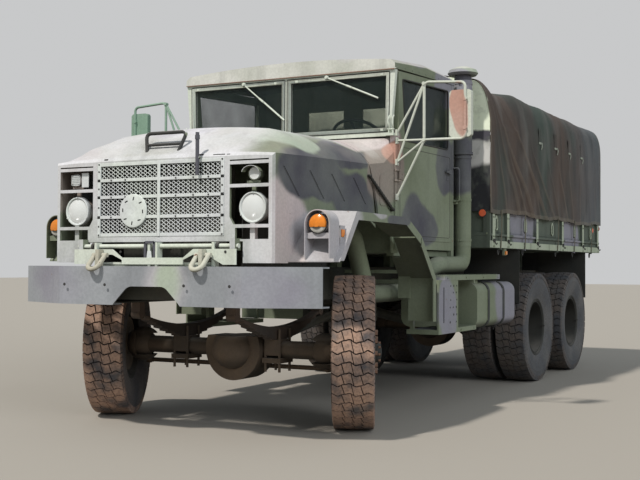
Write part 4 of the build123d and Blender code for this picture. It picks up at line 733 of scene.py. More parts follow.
def treadTree():
    tree, given = newTree("treadRing", Pitch="Object", Pitches="Int", Centre="Vector")
    repeated = addNode(tree, "GeometryNodeObjectInfo", {"Object": given["Pitch"]})["Geometry"]
    points = addNode(tree, "GeometryNodePoints", {"Count": given["Pitches"], "Position": given["Centre"]})[0]
    share = mathNode(tree, "DIVIDE", addNode(tree, "GeometryNodeInputIndex", {})[0], given["Pitches"])
    turn = addNode(tree, "ShaderNodeCombineXYZ", {"X": mathNode(tree, "MULTIPLY", share, 2 * pi)})[0]
    return endTree(tree, given, given["Geometry"], onPoints(tree, points, repeated, turn))


treadObject = treadPitch()
treadRing = treadTree()


def steerPiece(piece, side):
    # The front wheels stand turned to the truck's left about their kingpins.
    kingpin = Matrix.Translation(place(side * 0.8, 0, wheelHeight))
    piece.data.transform(kingpin @ Matrix.Rotation(radians(steerAngle), 4, "Z") @ kingpin.inverted())


def makeTyres(name, centres, back, finish, body):
    bm = bmesh.new()
    layer = bm.verts.layers.float.new("tread")
    outline = tyreProfile + [(-along, radius) for along, radius in tyreProfile[-2::-1]]
    for x in centres:
        addLathe(bm, outline, place(x, back, wheelHeight), (1, 0, 0), tyre["steps"], True)
    for vert in bm.verts:
        reach = (vert.co - place(vert.co.x, back, wheelHeight)).length
        vert[layer] = treadMarks["groove" if reach > treadMarks["reach"] else "wall"]
    piece = finishPiece(name, bm, finish, body, 35)
    for x in centres:
        applyTree(piece, treadRing, Pitch=treadObject, Pitches=tyre["pitches"],
                  Centre=place(x, back, wheelHeight), Material=finishes[finish])
    if back == 0:
        steerPiece(piece, 1 if centres[0] > 0 else -1)
    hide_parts(body.replace("wheels_", "tyres_").replace("wheel_", "tyre_"))


for side, word in hands:
    makeTyres("treadedTyreFront" + word, [side * 1.0], 0, "tyreFront", "wheel_front_" + word.lower())
    for spot, back in (("Forward", 3.861), ("Rearward", 5.233)):
        makeTyres("treadedTyres" + spot + word, [side * 0.746, side * 1.089], back, "tyreRear",
                  "wheels_" + spot.lower() + "_" + word.lower())

print("stage: canvas cover")
cover = {"half": 1.2275, "front": 2.352, "rear": 6.578, "shoulder": 2.47, "cornerX": 1.060, "cornerZ": 2.845,
         "top": 2.948, "hem": 1.646, "bows": (2.425, 3.435, 4.445, 5.455, 6.45), "sag": 0.030, "pull": 0.016,
         "thick": 0.004, "rows": 230, "columns": 170, "bend": 0.445, "crown": 1.0698, "round": 4.68,
         "bays": (2.1, 0.38), "drape": 0.007, "fine": 0.0025}
# Folds down the side: (back at the top, z at the top, back at the foot, half width, height at the foot)
coverFolds = [
    (2.40, 2.62, 2.50, 0.016, 0.010), (2.42, 2.72, 2.78, 0.022, 0.018), (2.46, 2.78, 3.16, 0.030, 0.026),
    (2.52, 2.80, 3.62, 0.034, 0.028), (2.66, 2.72, 3.40, 0.022, 0.016), (2.86, 2.78, 4.10, 0.038, 0.026),
    (3.30, 2.70, 4.44, 0.034, 0.018), (3.44, 2.62, 3.86, 0.026, 0.012), (4.00, 2.60, 4.66, 0.030, 0.012),
    (4.40, 2.72, 4.98, 0.040, 0.014), (4.95, 2.70, 5.24, 0.036, 0.012), (5.46, 2.72, 5.56, 0.034, 0.012),
    (5.92, 2.62, 6.02, 0.030, 0.010), (6.20, 2.70, 6.24, 0.030, 0.011), (6.42, 2.74, 6.46, 0.022, 0.010),
]
straight = cover["crown"] + cover["bend"] + cover["shoulder"]  # from the crown to z = 0, down the side
curtain = {"columns": 110, "rows": 70, "half": 1.221, "low": 1.650, "drop": 0.010, "cornerZ": 2.835, "fall": 0.365,
           "margin": 0.02, "thick": 0.004, "flat": (2.46, 1.28)}
roll = {"radius": 0.045, "back": 6.515, "half": 1.02, "top": 2.81, "sag": 0.10, "steps": 60, "count": 30,
        "straps": (-0.68, 0.0, 0.68), "strap": 0.052, "wide": 0.018, "turns": 28, "deep": 0.07}
ties = {"backs": (2.65, 3.40, 4.589, 5.30, 6.10), "x": (1.2345, 1.2245), "zs": (1.672, 1.318), "wide": 0.011,
        "thick": 0.003, "lean": 0.018, "bow": 0.004, "steps": 10}
tab = {"backs": (3.93, 4.50, 5.07, 5.63), "half": 0.062, "z": 2.405, "high": 0.155, "edge": 0.018, "proud": 0.0045,
       "steps": 8, "loop": 0.075, "loopSteps": 12, "loopWide": 0.009, "thick": 0.003}


def coverSide(reach, back):
    # A point of the section and its outward normal, a given way along the cloth from the crown.
    square = (back - cover["front"]) / (cover["rear"] - cover["front"])
    rise = cover["top"] - cover["cornerZ"]
    radius = (cover["cornerX"] ** 2 + rise ** 2) / 2 / rise
    crown = radius * asin(cover["cornerX"] / radius)
    if reach < crown:
        angle = reach / radius
        return (radius * sin(angle), cover["top"] - radius + radius * cos(angle)), (sin(angle), cos(angle))
    if reach < crown + cover["bend"]:
        t = (reach - crown) / cover["bend"]
        a = Vector((cover["cornerX"], cover["cornerZ"]))
        b = Vector((cover["half"], cover["shoulder"]))
        c = Vector((1.196 + 0.034 * square, 2.802 + 0.045 * square))
        point = a * (1 - t) ** 2 + c * 2 * t * (1 - t) + b * t * t
        along = ((c - a) * (1 - t) + (b - c) * t).normalized()
        return (point.x, point.y), (-along.y, along.x)
    return (cover["half"], cover["shoulder"] - (reach - crown - cover["bend"])), (1.0, 0.0)


def bowSag(back):
    for first, second in zip(cover["bows"], cover["bows"][1:]):
        if first < back < second:
            deep = cover["bays"][first != cover["bows"][0]]
            return deep * sin(pi * (back - first) / (second - first)) ** 1.4
    return 0.0


def foldHeight(back, z, side):
    # How far the folds stand out at a place on one side of the cover.
    height = 0.0
    for top, topZ, foot, width, most in coverFolds:
        share = (topZ - z) / (topZ - cover["hem"])
        if share > 0:
            shift = 0.07 * noise.noise(Vector((top * 3, z * 1.6, side * 4.0)))
            middle = top + (foot - top) * share ** 1.15 + shift * share + (0.06 * sin(top * 9) if side < 0 else 0)
            apart = (back - middle) / (width * (0.42 + 0.75 * share))
            height += 1.25 * most * min(1.0, share * 1.5) * exp(-apart * apart)
    return height


def hemHeight(back, side):
    drop = 0.010 * sin(back * 4.1 + side) + 0.006 * sin(back * 11.0 + 2 * side)
    return cover["hem"] + drop + 0.018 * max(0.0, (back - 6.0) / 0.58)


def coverPoint(back, reach, side):
    # A point of the cloth as it hangs over the bows, its outward normal and the fold's height there.
    (x, z), (nx, nz) = coverSide(reach, back)
    sag = bowSag(back)
    down = min(1.0, max(0.0, (z - 1.80) / 0.25))
    fold = foldHeight(back, z, side)
    push = cover["drape"] * noise.noise(Vector((side * x * 3.0, back * 5.0, z * 2.2)))
    push += cover["fine"] * noise.noise(Vector((side * x * 9.0 + 7, back * 15.0, z * 5.0)))
    if z > cover["shoulder"]:
        push -= cover["sag"] * sag * (0.75 + 0.25 * nz)
    else:
        push -= cover["pull"] * sag * (z - cover["hem"]) / (cover["shoulder"] - cover["hem"]) * down
    push = push * down + max(0.0, push) * (1 - down) + fold
    if z < 1.84:
        push = max(push, -0.002)
    return place(side * (x + nx * push), back, z + nz * push), Vector((side * nx, 0, nz)), fold


def makeSheet(name, bm, rows, outward, thick, finish):
    # Thickens a grid of vertices inwards; outward tells from a face whether it looks the wrong way.
    bridge(bm, rows, wrap=False)
    bmesh.ops.recalc_face_normals(bm, faces=bm.faces)
    if outward(bm):
        bmesh.ops.reverse_faces(bm, faces=bm.faces)
    bmesh.ops.solidify(bm, geom=bm.faces[:], thickness=thick)
    return finishPiece(name, bm, finish, "chassis", 70, "canvas_cover")


def makeCover():
    bm = bmesh.new()
    foldMark, edgeMark = (bm.verts.layers.float.new(name) for name in ("fold", "edge"))
    half = cover["columns"] // 2
    grid = []
    for i in range(cover["rows"] + 1):
        back = cover["front"] + (cover["rear"] - cover["front"]) * i / cover["rows"]
        line = []
        for k in range(-half, half + 1):
            side = 1 if k >= 0 else -1
            whole = straight - hemHeight(back, side)
            reach = whole * abs(k) / half
            point, facing, fold = coverPoint(back, reach, side)
            vert = bm.verts.new(point)
            vert[foldMark] = fold / 0.02
            vert[edgeMark] = min(whole - reach, back - cover["front"], cover["rear"] - back)
            line.append(vert)
        grid.append(line)
    piece = makeSheet("canvasCover", bm, grid,
                      lambda bm: max(bm.faces, key=lambda f: f.calc_center_median().z).normal.z < 0,
                      cover["thick"], "canvas")


def canvasMaterial():
    material, tree, shader = newMaterial("coverCanvas")
    paint = Painter(tree, colour(68, 64, 60))
    zones = paint.cloud(0.9, 3.0, (1, 1, 0.7))
    paint.layer(paint.ramp(zones, 0.46, 0.60), (60, 70, 63))
    paint.layer(paint.ramp(zones, 0.50, 0.38), (79, 67, 60))
    rear = paint.ramp(paint.axes(paint.coord)["Y"], frontAxleY + 4.9, frontAxleY + 6.3)
    paint.layer(rear, (92, 97, 102), 0.6)
    paint.layer(paint.patchy(3.0, 6.0, 0.48, 0.74, (1.4, 1.4, 0.35)), (116, 113, 109), 0.42)
    paint.layer(paint.patchy(4.0, 6.0, 0.50, 0.76, (1.2, 1.2, 0.30)), (41, 40, 38), 0.55)
    # Fold ridges are lightened: painted highlight along the folds.
    paint.layer(paint.ramp(paint.mark("fold"), 0.35, 0.85), (128, 116, 104), 0.25)
    hem = paint.ramp(paint.mark("edge"), 0.040, 0.034)
    paint.layer(hem, (120, 112, 98), 0.35)
    weave = paint.math("ADD", paint.cloud(420.0, 2.0), paint.math("MULTIPLY", hem, 1.5))
    crease = paint.math("MULTIPLY", paint.cloud(16.0, 6.0, (1.4, 1.4, 0.5)), 3.0)
    paint.close(shader, 0.92, paint.math("ADD", weave, crease), 0.55, 0.004)
    return material


def curtainMaterial():
    # The front curtain: pale green above, then a dark band, grey, and nearly black below; the pale green and the grey
    # are lightened with painted sunlight.
    material, tree, shader = newMaterial("curtainCanvas")
    paint = Painter(tree, colour(44, 44, 48))
    wave = paint.math("MULTIPLY", paint.math("SUBTRACT", paint.cloud(4.0, 5.0), 0.5), 0.16)
    height = paint.math("ADD", paint.axes(paint.coord)["Z"], wave)
    # The grey and the pale green tones carry painted sunlight as well as the cloth's colour.
    for low, high, tone in ((2.04, 2.10, (200, 198, 194)), (2.27, 2.30, (72, 70, 78)), (2.37, 2.40, (236, 243, 220))):
        paint.layer(paint.ramp(height, low, high), tone)
    paint.layer(paint.patchy(11.0, 6.0, 0.52, 0.68), (110, 116, 104), 0.25)
    paint.close(shader, 0.92, paint.cloud(13.0, 7.0), 0.5, 0.006)
    return material


def makeFrontCurtain():
    # The closed front sheet, laced to the first bow, with loose vertical creases.
    bm = bmesh.new()
    corner = cover["cornerX"] - curtain["margin"]
    grid = []
    for share in (j / curtain["rows"] for j in range(curtain["rows"] + 1)):
        line = []
        for across in (-1 + 2 * i / curtain["columns"] for i in range(curtain["columns"] + 1)):
            x = curtain["half"] * across
            roof = cover["top"] - curtain["drop"] - (cover["top"] - cover["cornerZ"]) * (x / cover["cornerX"]) ** 2
            if abs(x) > corner:
                t = (abs(x) - corner) / (curtain["half"] - corner)
                roof = curtain["cornerZ"] - curtain["fall"] * (1 - (1 - t * t) ** 0.5)
            z = curtain["low"] + (roof - curtain["low"]) * share
            crease = noise.noise(Vector((x * 6.0, z * 1.3, 3.0))) * 0.012
            crease += noise.noise(Vector((x * 2.2 + 5, z * 2.4, 8.0))) * 0.014
            rim = min(1.0, 6 * (1 - abs(across))) * min(1.0, 8 * (1 - share))
            line.append(bm.verts.new(place(x, cover["front"] + 0.004 - crease * rim, z)))
        grid.append(line)
    piece = makeSheet("canvasFrontCurtain", bm, grid,
                      lambda bm: sum(face.normal.y for face in bm.faces) > 0, curtain["thick"], "curtain")


def makeRearRoll():
    # The rear curtain rolled up under the last bow, with its straps.
    bm, straps = bmesh.new(), bmesh.new()
    rings = []
    for t in (2 * i / roll["steps"] - 1 for i in range(roll["steps"] + 1)):
        x, z = roll["half"] * t, roll["top"] - roll["sag"] * t * t
        points = []
        for angle in (2 * pi * k / roll["count"] for k in range(roll["count"])):
            lump = noise.noise(Vector((x * 4, cos(angle) * 1.2, sin(angle) * 1.2)))
            size = roll["radius"] * (1 + 0.09 * lump)
            points.append(place(x, roll["back"] + size * cos(angle), z + size * sin(angle)))
        rings.append(addVerts(bm, points))
    bridge(bm, rings)
    bm.faces.new(rings[0][::-1])
    bm.faces.new(rings[-1])
    finishPiece("canvasRearRoll", bm, "canvas", "chassis", 60)
    wide = Vector((roll["wide"], 0, 0))
    for x in roll["straps"]:
        z = roll["top"] - roll["sag"] * (x / roll["half"]) ** 2
        middle = place(x, roll["back"], z)
        loop = [place(x, roll["back"] + roll["strap"] * cos(a), z + roll["strap"] * sin(a))
                for a in (2 * pi * k / roll["turns"] for k in range(roll["turns"] + 1))]
        for first, second in zip(loop, loop[1:]):
            corners = [first - wide, first + wide, second + wide, second - wide]
            verts = addVerts(straps, corners + [c + (middle - c) * roll["deep"] for c in corners])
            for face in ((0, 1, 2, 3), (7, 6, 5, 4), (0, 4, 5, 1), (2, 6, 7, 3)):
                straps.faces.new([verts[i] for i in face])
    finishPiece("canvasRollStraps", straps, "webbing", "chassis")


def makeCoverTies():
    # Webbing straps from the hem down to the hooks under the bed rails.
    bm = bmesh.new()
    wide = Vector((0, ties["wide"], 0))
    for side in (-1, 1):
        thick = Vector((side * ties["thick"], 0, 0))
        for back in ties["backs"]:
            top = place(side * ties["x"][0], back + ties["lean"] * sin(back * 7), ties["zs"][0])
            foot = place(side * ties["x"][1], back, ties["zs"][1])
            rings = []
            for share in (i / ties["steps"] for i in range(ties["steps"] + 1)):
                point = top.lerp(foot, share) + Vector((side * ties["bow"] * sin(pi * share), 0, 0))
                rings.append(addVerts(bm, [point - wide, point + wide, point + wide + thick, point - wide + thick]))
            bridge(bm, rings)
            bm.faces.new(rings[0][::-1])
            bm.faces.new(rings[-1])
    finishPiece("coverTieStraps", bm, "webbing", "chassis")


def makeCoverTabs():
    # Patches sewn high on the sides, each with a pale webbing edge and a loop for tying the side up.
    patch, web = bmesh.new(), bmesh.new()
    edgeMark = patch.verts.layers.float.new("edge")
    steps = tab["steps"]
    wide = Vector((0, tab["loopWide"], 0))
    for side in (-1, 1):
        for back in tab["backs"]:
            for bm, low, high, proud in ((patch, 0.0, tab["high"], tab["proud"]),
                                         (web, -tab["thick"], tab["edge"], tab["proud"] + tab["thick"])):
                rows = []
                for z in (tab["z"] + low + (high - low) * j / steps for j in range(steps + 1)):
                    points = []
                    for i in range(steps + 1):
                        reach = straight - min(z, cover["shoulder"] - 0.001)
                        point, facing, fold = coverPoint(back + tab["half"] * (2 * i / steps - 1), reach, side)
                        if z > cover["shoulder"]:
                            point.z = z
                        points.append(point + facing * proud)
                    rows.append(addVerts(bm, points))
                bridge(bm, rows[::side], wrap=False)
            middle, facing, fold = coverPoint(back + 0.02, straight - tab["z"] - 0.02, side)
            loop = [middle + facing * (0.008 + 0.010 * sin(pi * t)) - Vector((0, 0, tab["loop"] * t))
                    for t in (i / tab["loopSteps"] for i in range(tab["loopSteps"] + 1))]
            for point, after in zip(loop, loop[1:]):
                web.faces.new(addVerts(web, [point - side * wide, after - side * wide, after + side * wide,
                                             point + side * wide]))
    for bm in (patch, web):
        bmesh.ops.remove_doubles(bm, verts=bm.verts, dist=0.0001)
        for face in bm.faces:
            face.normal_update()
        bmesh.ops.solidify(bm, geom=bm.faces[:], thickness=tab["thick"])
    for vert in patch.verts:
        vert[edgeMark] = 1.0
    finishPiece("coverTabs", patch, "canvas", "chassis", 50)
    finishPiece("coverTabWebbing", web, "tabEdge", "chassis", 50)


finishes["canvas"] = canvasMaterial()
finishes["curtain"] = curtainMaterial()
makeCover()
makeFrontCurtain()
makeRearRoll()
makeCoverTies()
makeCoverTabs()

print("stage: nose")
noseBack = -0.920
grilleSheet = {"pitchX": 0.0390, "pitchZ": 0.0252, "strand": 0.0047, "half": 0.505, "low": 1.362, "high": 1.848}
strandEnds = ((0, 0), (0.42, 1), (0.58, 1), (1, 0))
grilleBars = {"zs": (1.738, 1.621, 1.483), "low": 1.349, "high": 1.859, "side": 0.494, "end": 0.52, "edge": 0.024,
              "bevel": 0.0015, "rivets": (1.36, 1.42, 1.483, 1.55, 1.621, 1.68, 1.738, 1.80, 1.85)}
disc = {"x": -0.210, "z": 1.524, "reach": 0.084, "long": 0.013, "tall": 0.0042,
        "leans": (70, 20, 95, 10, 80, 15, 90, 25),
        "profile": [(-0.006, 0), (-0.010, 0.03), (-0.011, 0.10), (-0.009, 0.112), (-0.003, 0.116), (-0.003, 0)],
        "slot": ((-1, -0.5), (-0.8, -1), (0.8, -1), (1, -0.5), (1, 0.5), (0.8, 1), (-0.8, 1), (-1, 0.5))}


def strandObject():
    # One chevron of flattened expanded metal, half a diamond tall.
    bm = bmesh.new()
    half = grilleSheet["strand"] / 2
    rings = []
    for along, up in strandEnds:
        x, z = along * grilleSheet["pitchX"], up * grilleSheet["pitchZ"] / 2
        rings.append(addVerts(bm, [(x, y, z + dz) for y, dz in
                                   ((-0.0016, -half), (-0.0004, half), (0.0016, half), (0.0004, -half))]))
    bridge(bm, rings)
    bm.faces.new(rings[0])
    bm.faces.new(rings[-1][::-1])
    return looseObject("grilleStrand", bm)


def grilleTree():
    # Two grids of strands, the second upside down and one pitch higher.
    tree, given = newTree("expandedMetal", Strand="Object", Columns="Int", Rows="Int", PitchX="Float", PitchZ="Float")
    strand = addNode(tree, "GeometryNodeObjectInfo", {"Object": given["Strand"]})["Geometry"]
    spans = [mathNode(tree, "MULTIPLY", mathNode(tree, "SUBTRACT", given[count], 1.0), given[step])
             for count, step in (("Columns", "PitchX"), ("Rows", "PitchZ"))]
    grid = addNode(tree, "GeometryNodeMeshGrid", {"Vertices X": given["Columns"], "Vertices Y": given["Rows"],
                                                  "Size X": spans[0], "Size Y": spans[1]})["Mesh"]
    middle = (grilleSheet["low"] + grilleSheet["high"]) / 2
    rows = []
    for lift, turn in ((0, 0), (1, pi)):
        up = addNode(tree, "ShaderNodeCombineXYZ", {"Z": mathNode(tree, "MULTIPLY", given["PitchZ"], lift)})[0]
        stood = addNode(tree, "GeometryNodeTransform",
                        {"Geometry": grid, "Rotation": (pi / 2, 0, 0), "Translation": up})[0]
        instances = onPoints(tree, stood, strand, (turn, 0, 0))
        rows.append(addNode(tree, "GeometryNodeTransform", {
            "Geometry": instances, "Translation": place(-grilleSheet["pitchX"] / 2, noseBack + 0.005, middle)})[0])
    return endTree(tree, given, *rows)


def makeGrille():
    piece = addObject("grilleMesh", bpy.data.meshes.new("grilleMesh"))
    applyTree(piece, grilleTree(), Strand=strandObject(), PitchX=grilleSheet["pitchX"], PitchZ=grilleSheet["pitchZ"],
              Columns=int(2 * grilleSheet["half"] / grilleSheet["pitchX"]) + 1,
              Rows=int((grilleSheet["high"] - grilleSheet["low"]) / grilleSheet["pitchZ"]) + 1,
              Material=finishes["bleached"])
    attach(piece, "hood")
    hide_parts("grille")
    bars = grilleBars
    front, back = noseBack - 0.004, noseBack + 0.008
    strips = [box((-bars["end"], bars["end"]), (front, front + 0.006), (z - 0.011, z + 0.011)) for z in bars["zs"]]
    strips.append(box((-0.012, 0.012), (front - 0.002, front + 0.005), (bars["low"], bars["high"])))
    strips += [box((x, x + 0.026), (front, back), (bars["low"], bars["high"])) for x in (-bars["end"], bars["side"])]
    strips += [box((-bars["side"], bars["side"]), (front + 0.001, back), (z, z + bars["edge"]))
               for z in (bars["low"], bars["high"] - bars["edge"])]
    piece = makePiece("grilleStrips", strips, "bleached", "hood", smooth=30, sides=(1,), stands="grille")
    bm = bmesh.new()
    bm.from_mesh(piece.data)
    sharp = [edge for edge in bm.edges if len(edge.link_faces) == 2 and edge.calc_face_angle(0) > radians(40)]
    bmesh.ops.bevel(bm, geom=sharp, offset=bars["bevel"], segments=1, affect="EDGES", clamp_overlap=True)
    bm.to_mesh(piece.data)
    bm.free()
    rivets = spotsOn((-0.507, 0.507), [front - 0.0005], bars["rivets"], forwards, (1,))
    rivets += spotsOn((-0.4, -0.28, 0.14, 0.28, 0.4), [front - 0.0005], bars["zs"], forwards, (1,))
    addBolts("grilleRivets", rivets, "dark", (0.004, 0.003, 0.006), "hood")
    makePiece("grilleDisc", [turned((disc["x"], noseBack, disc["z"]), backwards, disc["profile"], 64)],
              "bleached", "hood", smooth=30, sides=(1,), stands="grille")
    slots = []
    for turn, lean in enumerate(disc["leans"]):
        angle, lean = radians(45 * turn + 4), radians(lean)
        x, z = disc["x"] + disc["reach"] * sin(angle), disc["z"] + disc["reach"] * cos(angle)
        outline = [(x + cos(lean) * a * disc["long"] - sin(lean) * b * disc["tall"], noseBack - 0.0108,
                    z + sin(lean) * a * disc["long"] + cos(lean) * b * disc["tall"]) for a, b in disc["slot"]]
        slots.append(slab(outline, (0, -0.0008, 0)))
    # The disc's slots are thin near-black plates: painted shade.
    makePiece("grilleDiscSlots", slots, "hollowShade", "hood", smooth=30, sides=(1,))


lampFace = noseBack + 0.026
lampCentre = (0.722, lampFace, 1.531)
smallCentre = (0.735, lampFace, 1.750)
# (back from the lamp's face, radius)
lampProfiles = {
    "bezel": [(0.034, 0.096), (0.034, 0.102), (0.002, 0.103), (-0.004, 0.100), (-0.005, 0.094), (-0.001, 0.088),
              (0.006, 0.086), (0.010, 0.090)],
    "lens": [(0.004, 0.0885), (-0.003, 0.070), (-0.010, 0.045), (-0.013, 0.020), (-0.0135, 0), (-0.0105, 0),
             (-0.010, 0.020), (-0.007, 0.045), (0, 0.070), (0.007, 0.0885)],
    "bowl": [(0.010, 0.088), (0.026, 0.075), (0.044, 0.050), (0.056, 0.020), (0.058, 0), (0.060, 0), (0.058, 0.020),
             (0.046, 0.052), (0.028, 0.078), (0.012, 0.091)],
    "can": [(0.032, 0.094), (0.036, 0.088), (0.100, 0.084), (0.130, 0.060), (0.132, 0)],
    "small": [(0.074, 0), (0.070, 0.030), (0.050, 0.044), (0, 0.047), (-0.004, 0.044), (0.006, 0.040), (0.008, 0)],
    "bulb": [(0.012, 0), (0.012, 0.014), (0.020, 0.016), (0.020, 0)],
    "rim": [(0.001, 0.066), (-0.006, 0.0665), (-0.007, 0.063), (-0.002, 0.0615), (0.001, 0.062)],
}
visor = {"outer": (0.066, 0.047), "inner": (0.063, 0.044), "start": 8, "sweep": 164, "steps": 14, "deep": 0.048}
guard = {"bars": 3, "gap": 0.012, "half": 0.034, "radius": 0.0016}
signal = {"x": 1.087, "back": -0.680, "z": 1.428, "steps": 48,
          "dome": ((0.0635, 0.0), (0.058, 0.012), (0.044, 0.020), (0.024, 0.0255), (0.0, 0.027))}


def makeHeadlamps():
    x, face, z = lampCentre
    smallX, face, smallZ = smallCentre
    arcs = [[(smallX - 0.010 + wide * cos(angle), face - 0.040, smallZ + 0.003 + tall * sin(angle)) for angle in
             (radians(visor["start"] + visor["sweep"] * k / visor["steps"]) for k in range(visor["steps"] + 1))]
            for wide, tall in (visor["outer"], visor["inner"])]
    cans = [turned(lampCentre, backwards, lampProfiles["can"], 40),
            turned(smallCentre, backwards, lampProfiles["small"], 32),
            box((x - 0.014, x + 0.014), (face + 0.014, face + 0.030), (1.622, 1.712)),
            box((x - 0.050, x + 0.050), (face + 0.010, face + 0.016), (1.690, 1.705)),
            box((x - 0.018, x + 0.018), (noseBack + 0.024, noseBack + 0.060), (1.302, 1.440)),
            box((x - 0.200, x + 0.018), (noseBack + 0.044, noseBack + 0.060), (1.310, 1.326)),
            on(1, slab(arcs[0] + arcs[1][::-1], (0, visor["deep"], 0)))]
    bezels = [turned(lampCentre, backwards, lampProfiles["bezel"], 56, True)]
    for angle in (radians(90 + 120 * k) for k in range(3)):
        spot = (x + 0.0965 * cos(angle), z + 0.0965 * sin(angle))
        bezels.append(tube(0.005, 8, (spot[0], face - 0.006, spot[1]), (spot[0], face - 0.010, spot[1])))
    for step in (k * guard["gap"] for k in range(-guard["bars"], guard["bars"] + 1)):
        half, back = guard["half"], face - 0.006
        bezels.append(on(-1, tube(guard["radius"], 5, (smallX - step, back, smallZ - half),
                                  (smallX - step, back, smallZ + half))))
        bezels.append(on(-1, tube(guard["radius"], 5, (smallX + half, back, smallZ + step),
                                  (smallX - half, back, smallZ + step))))
    bezels.append(on(-1, box((0.683, 0.623), (face - 0.002, face + 0.003), (1.700, 1.800))))
    lenses = [turned(lampCentre, backwards, lampProfiles["lens"], 56, True),
              tube(0.039, 28, (smallX, face + 0.004, smallZ), (smallX, face - 0.004, smallZ))]
    bowls = [turned(lampCentre, backwards, lampProfiles["bowl"], 56, True),
             turned(lampCentre, backwards, lampProfiles["bulb"], 20)]
    for name, shapes, finish in (("headlampCans", cans, "camo"), ("headlampBezels", bezels, "bleached"),
                                 ("headlampLenses", lenses, "lens"), ("headlampBowls", bowls, "reflector")):
        makePiece(name, shapes, finish, "hood", "lamp_lens", 35, stands="headlamps")


def halfDome(low, high):
    # A domed lens, cut off below and above its level line.
    def add(bm, side):
        rings = []
        for radius, out in signal["dome"]:
            points = circle(Vector(), Vector(outwards), Vector(upwards), radius, signal["steps"])
            rings.append(addVerts(bm, [place(side * signal["x"] + point.x, signal["back"] - out - 0.004,
                                             signal["z"] + min(max(point.z, low), high)) for point in points]))
        bridge(bm, rings)
        bmesh.ops.remove_doubles(bm, verts=bm.verts, dist=0.00001)
        bmesh.ops.dissolve_degenerate(bm, edges=bm.edges, dist=0.00001)
    return add


def makeSignals():
    centre = (signal["x"], signal["back"], signal["z"])
    makePiece("signalLensAmber", [halfDome(-0.022, 1.0), box((1.127, 1.173), (-0.556, -0.549), (1.346, 1.394)),
                                  box((1.181, 1.186), (-0.536, -0.490), (1.346, 1.394))],
              "amber", "hood", "amber_lens", 25)
    makePiece("signalLensClear", [halfDome(-1.0, -0.024)], "frosted", "hood", "lamp_lens", 25)
    makePiece("signalRims", [turned(centre, backwards, lampProfiles["rim"], 48, True)], "dark", "hood", smooth=35)
    makePiece("markerFrames", [box((1.122, 1.178), (-0.549, -0.5455), (1.336, 1.404))], "bleached", "hood",
              smooth=35)


louvres = {"starts": (-0.800, -0.442, -0.117, 0.234), "x": 0.8892, "deep": 0.0004, "lip": 0.8945,
           "slit": ((0.001, 1.7985), (0.0125, 1.7985), (0.217, 1.6195), (0.2065, 1.6195))}
liftLoop = [(-0.150, -0.852, 1.925), (-0.195, -0.800, 2.062), (0.145, -0.800, 2.062), (0.110, -0.852, 1.925)]
lipBits = ((0.300, 0.352, 1.874, 1.890), (0.430, 0.520, 1.872, 1.884), (0.535, 0.560, 1.868, 1.882),
           (-0.470, -0.440, 1.874, 1.888))


def bentRod(points, bend, radius, sides):
    return lambda bm, side: addTube(bm, bentPath(placeAll(points, side), bend), radius, sides)


def makeNoseTrim():
    alone = {"sides": (1,)}
    makePiece("hoodLiftLoop", [bentRod(liftLoop, 0.05, 0.0125, 12),
                               tube(0.0103, 10, (-0.169, -0.832, 1.978), (0.123, -0.832, 1.978))],
              "dark", "hood", **alone)
    makePiece("hoodHoldDownRod", [tube(0.0128, 12, (0.326, -0.946, 1.749), (0.326, -0.946, 2.031)),
                                  tube(0.0165, 12, (0.326, -0.946, 1.985), (0.326, -0.946, 2.012))],
              "blackPaint", "hood", **alone)
    # Latch over the hinge tube, with its two straps.
    latch = []
    for x in (-0.060, 0.014):
        latch += [box((x - 0.008, x + 0.008), (-0.992, -0.978), (1.168, 1.312)),
                  box((x - 0.006, x + 0.006), (-0.992, -0.925), (1.298, 1.312))]
    latch += [box((-0.052, 0.006), (-0.990, -0.984), (1.168, 1.182)),
              box((-0.056, 0.010), (-0.995, -0.985), (1.300, 1.316))]
    makePiece("hoodCentreLatch", latch, "blackPaint", "chassis", "frame_paint", 30, **alone)
    outline = [(x, -0.9935, z) for x, z in ((-0.046, 1.185), (0.000, 1.185), (-0.008, 1.250), (-0.038, 1.250))]
    makePiece("latchPlate", [slab(outline, (0, 0.003, 0))], "bleached", "chassis", "frame_paint", 30, **alone)
    slits = [slab([(louvres["x"], start + back, z) for back, z in louvres["slit"]], (louvres["deep"], 0, 0))
             for start in louvres["starts"]]
    lips = [tube(0.004, 6, (louvres["lip"], start - 0.004, 1.799), (louvres["lip"], start + 0.202, 1.620))
            for start in louvres["starts"]]
    # The louvre slits are thin near-black plates on the hood side: painted shade.
    makePiece("louvreHollows", slits, "hollowShade", "hood", smooth=0)
    makePiece("louvreLips", lips, "camo", "hood", smooth=50)
    makePiece("hoodLipBits", [box((x0, x1), (noseBack + 0.006, noseBack + 0.024), (z0, z1))
                              for x0, x1, z0, z1 in lipBits], "dark", "hood", smooth=30, **alone)
    makePiece("hingeTubeCollars", [tube(0.0265, 24, (x - 0.010, -0.95, 1.281), (x + 0.010, -0.95, 1.281))
                                   for x in (-0.520, 0.500)], "dark", "chassis", "frame_paint", **alone)
    addBolts("bumperBolts", spotsOn((0.321, 0.669), [-1.0852], [1.022], forwards), "dark", (0.008, 0.004, 0.010))
    addBolts("apronBolts", spotsOn((-0.26, 0.58), [-0.995], [1.243], forwards, (1,)), "dark", (0.007, 0.004, 0.009))


makeGrille()
makeHeadlamps()
makeSignals()
makeNoseTrim()

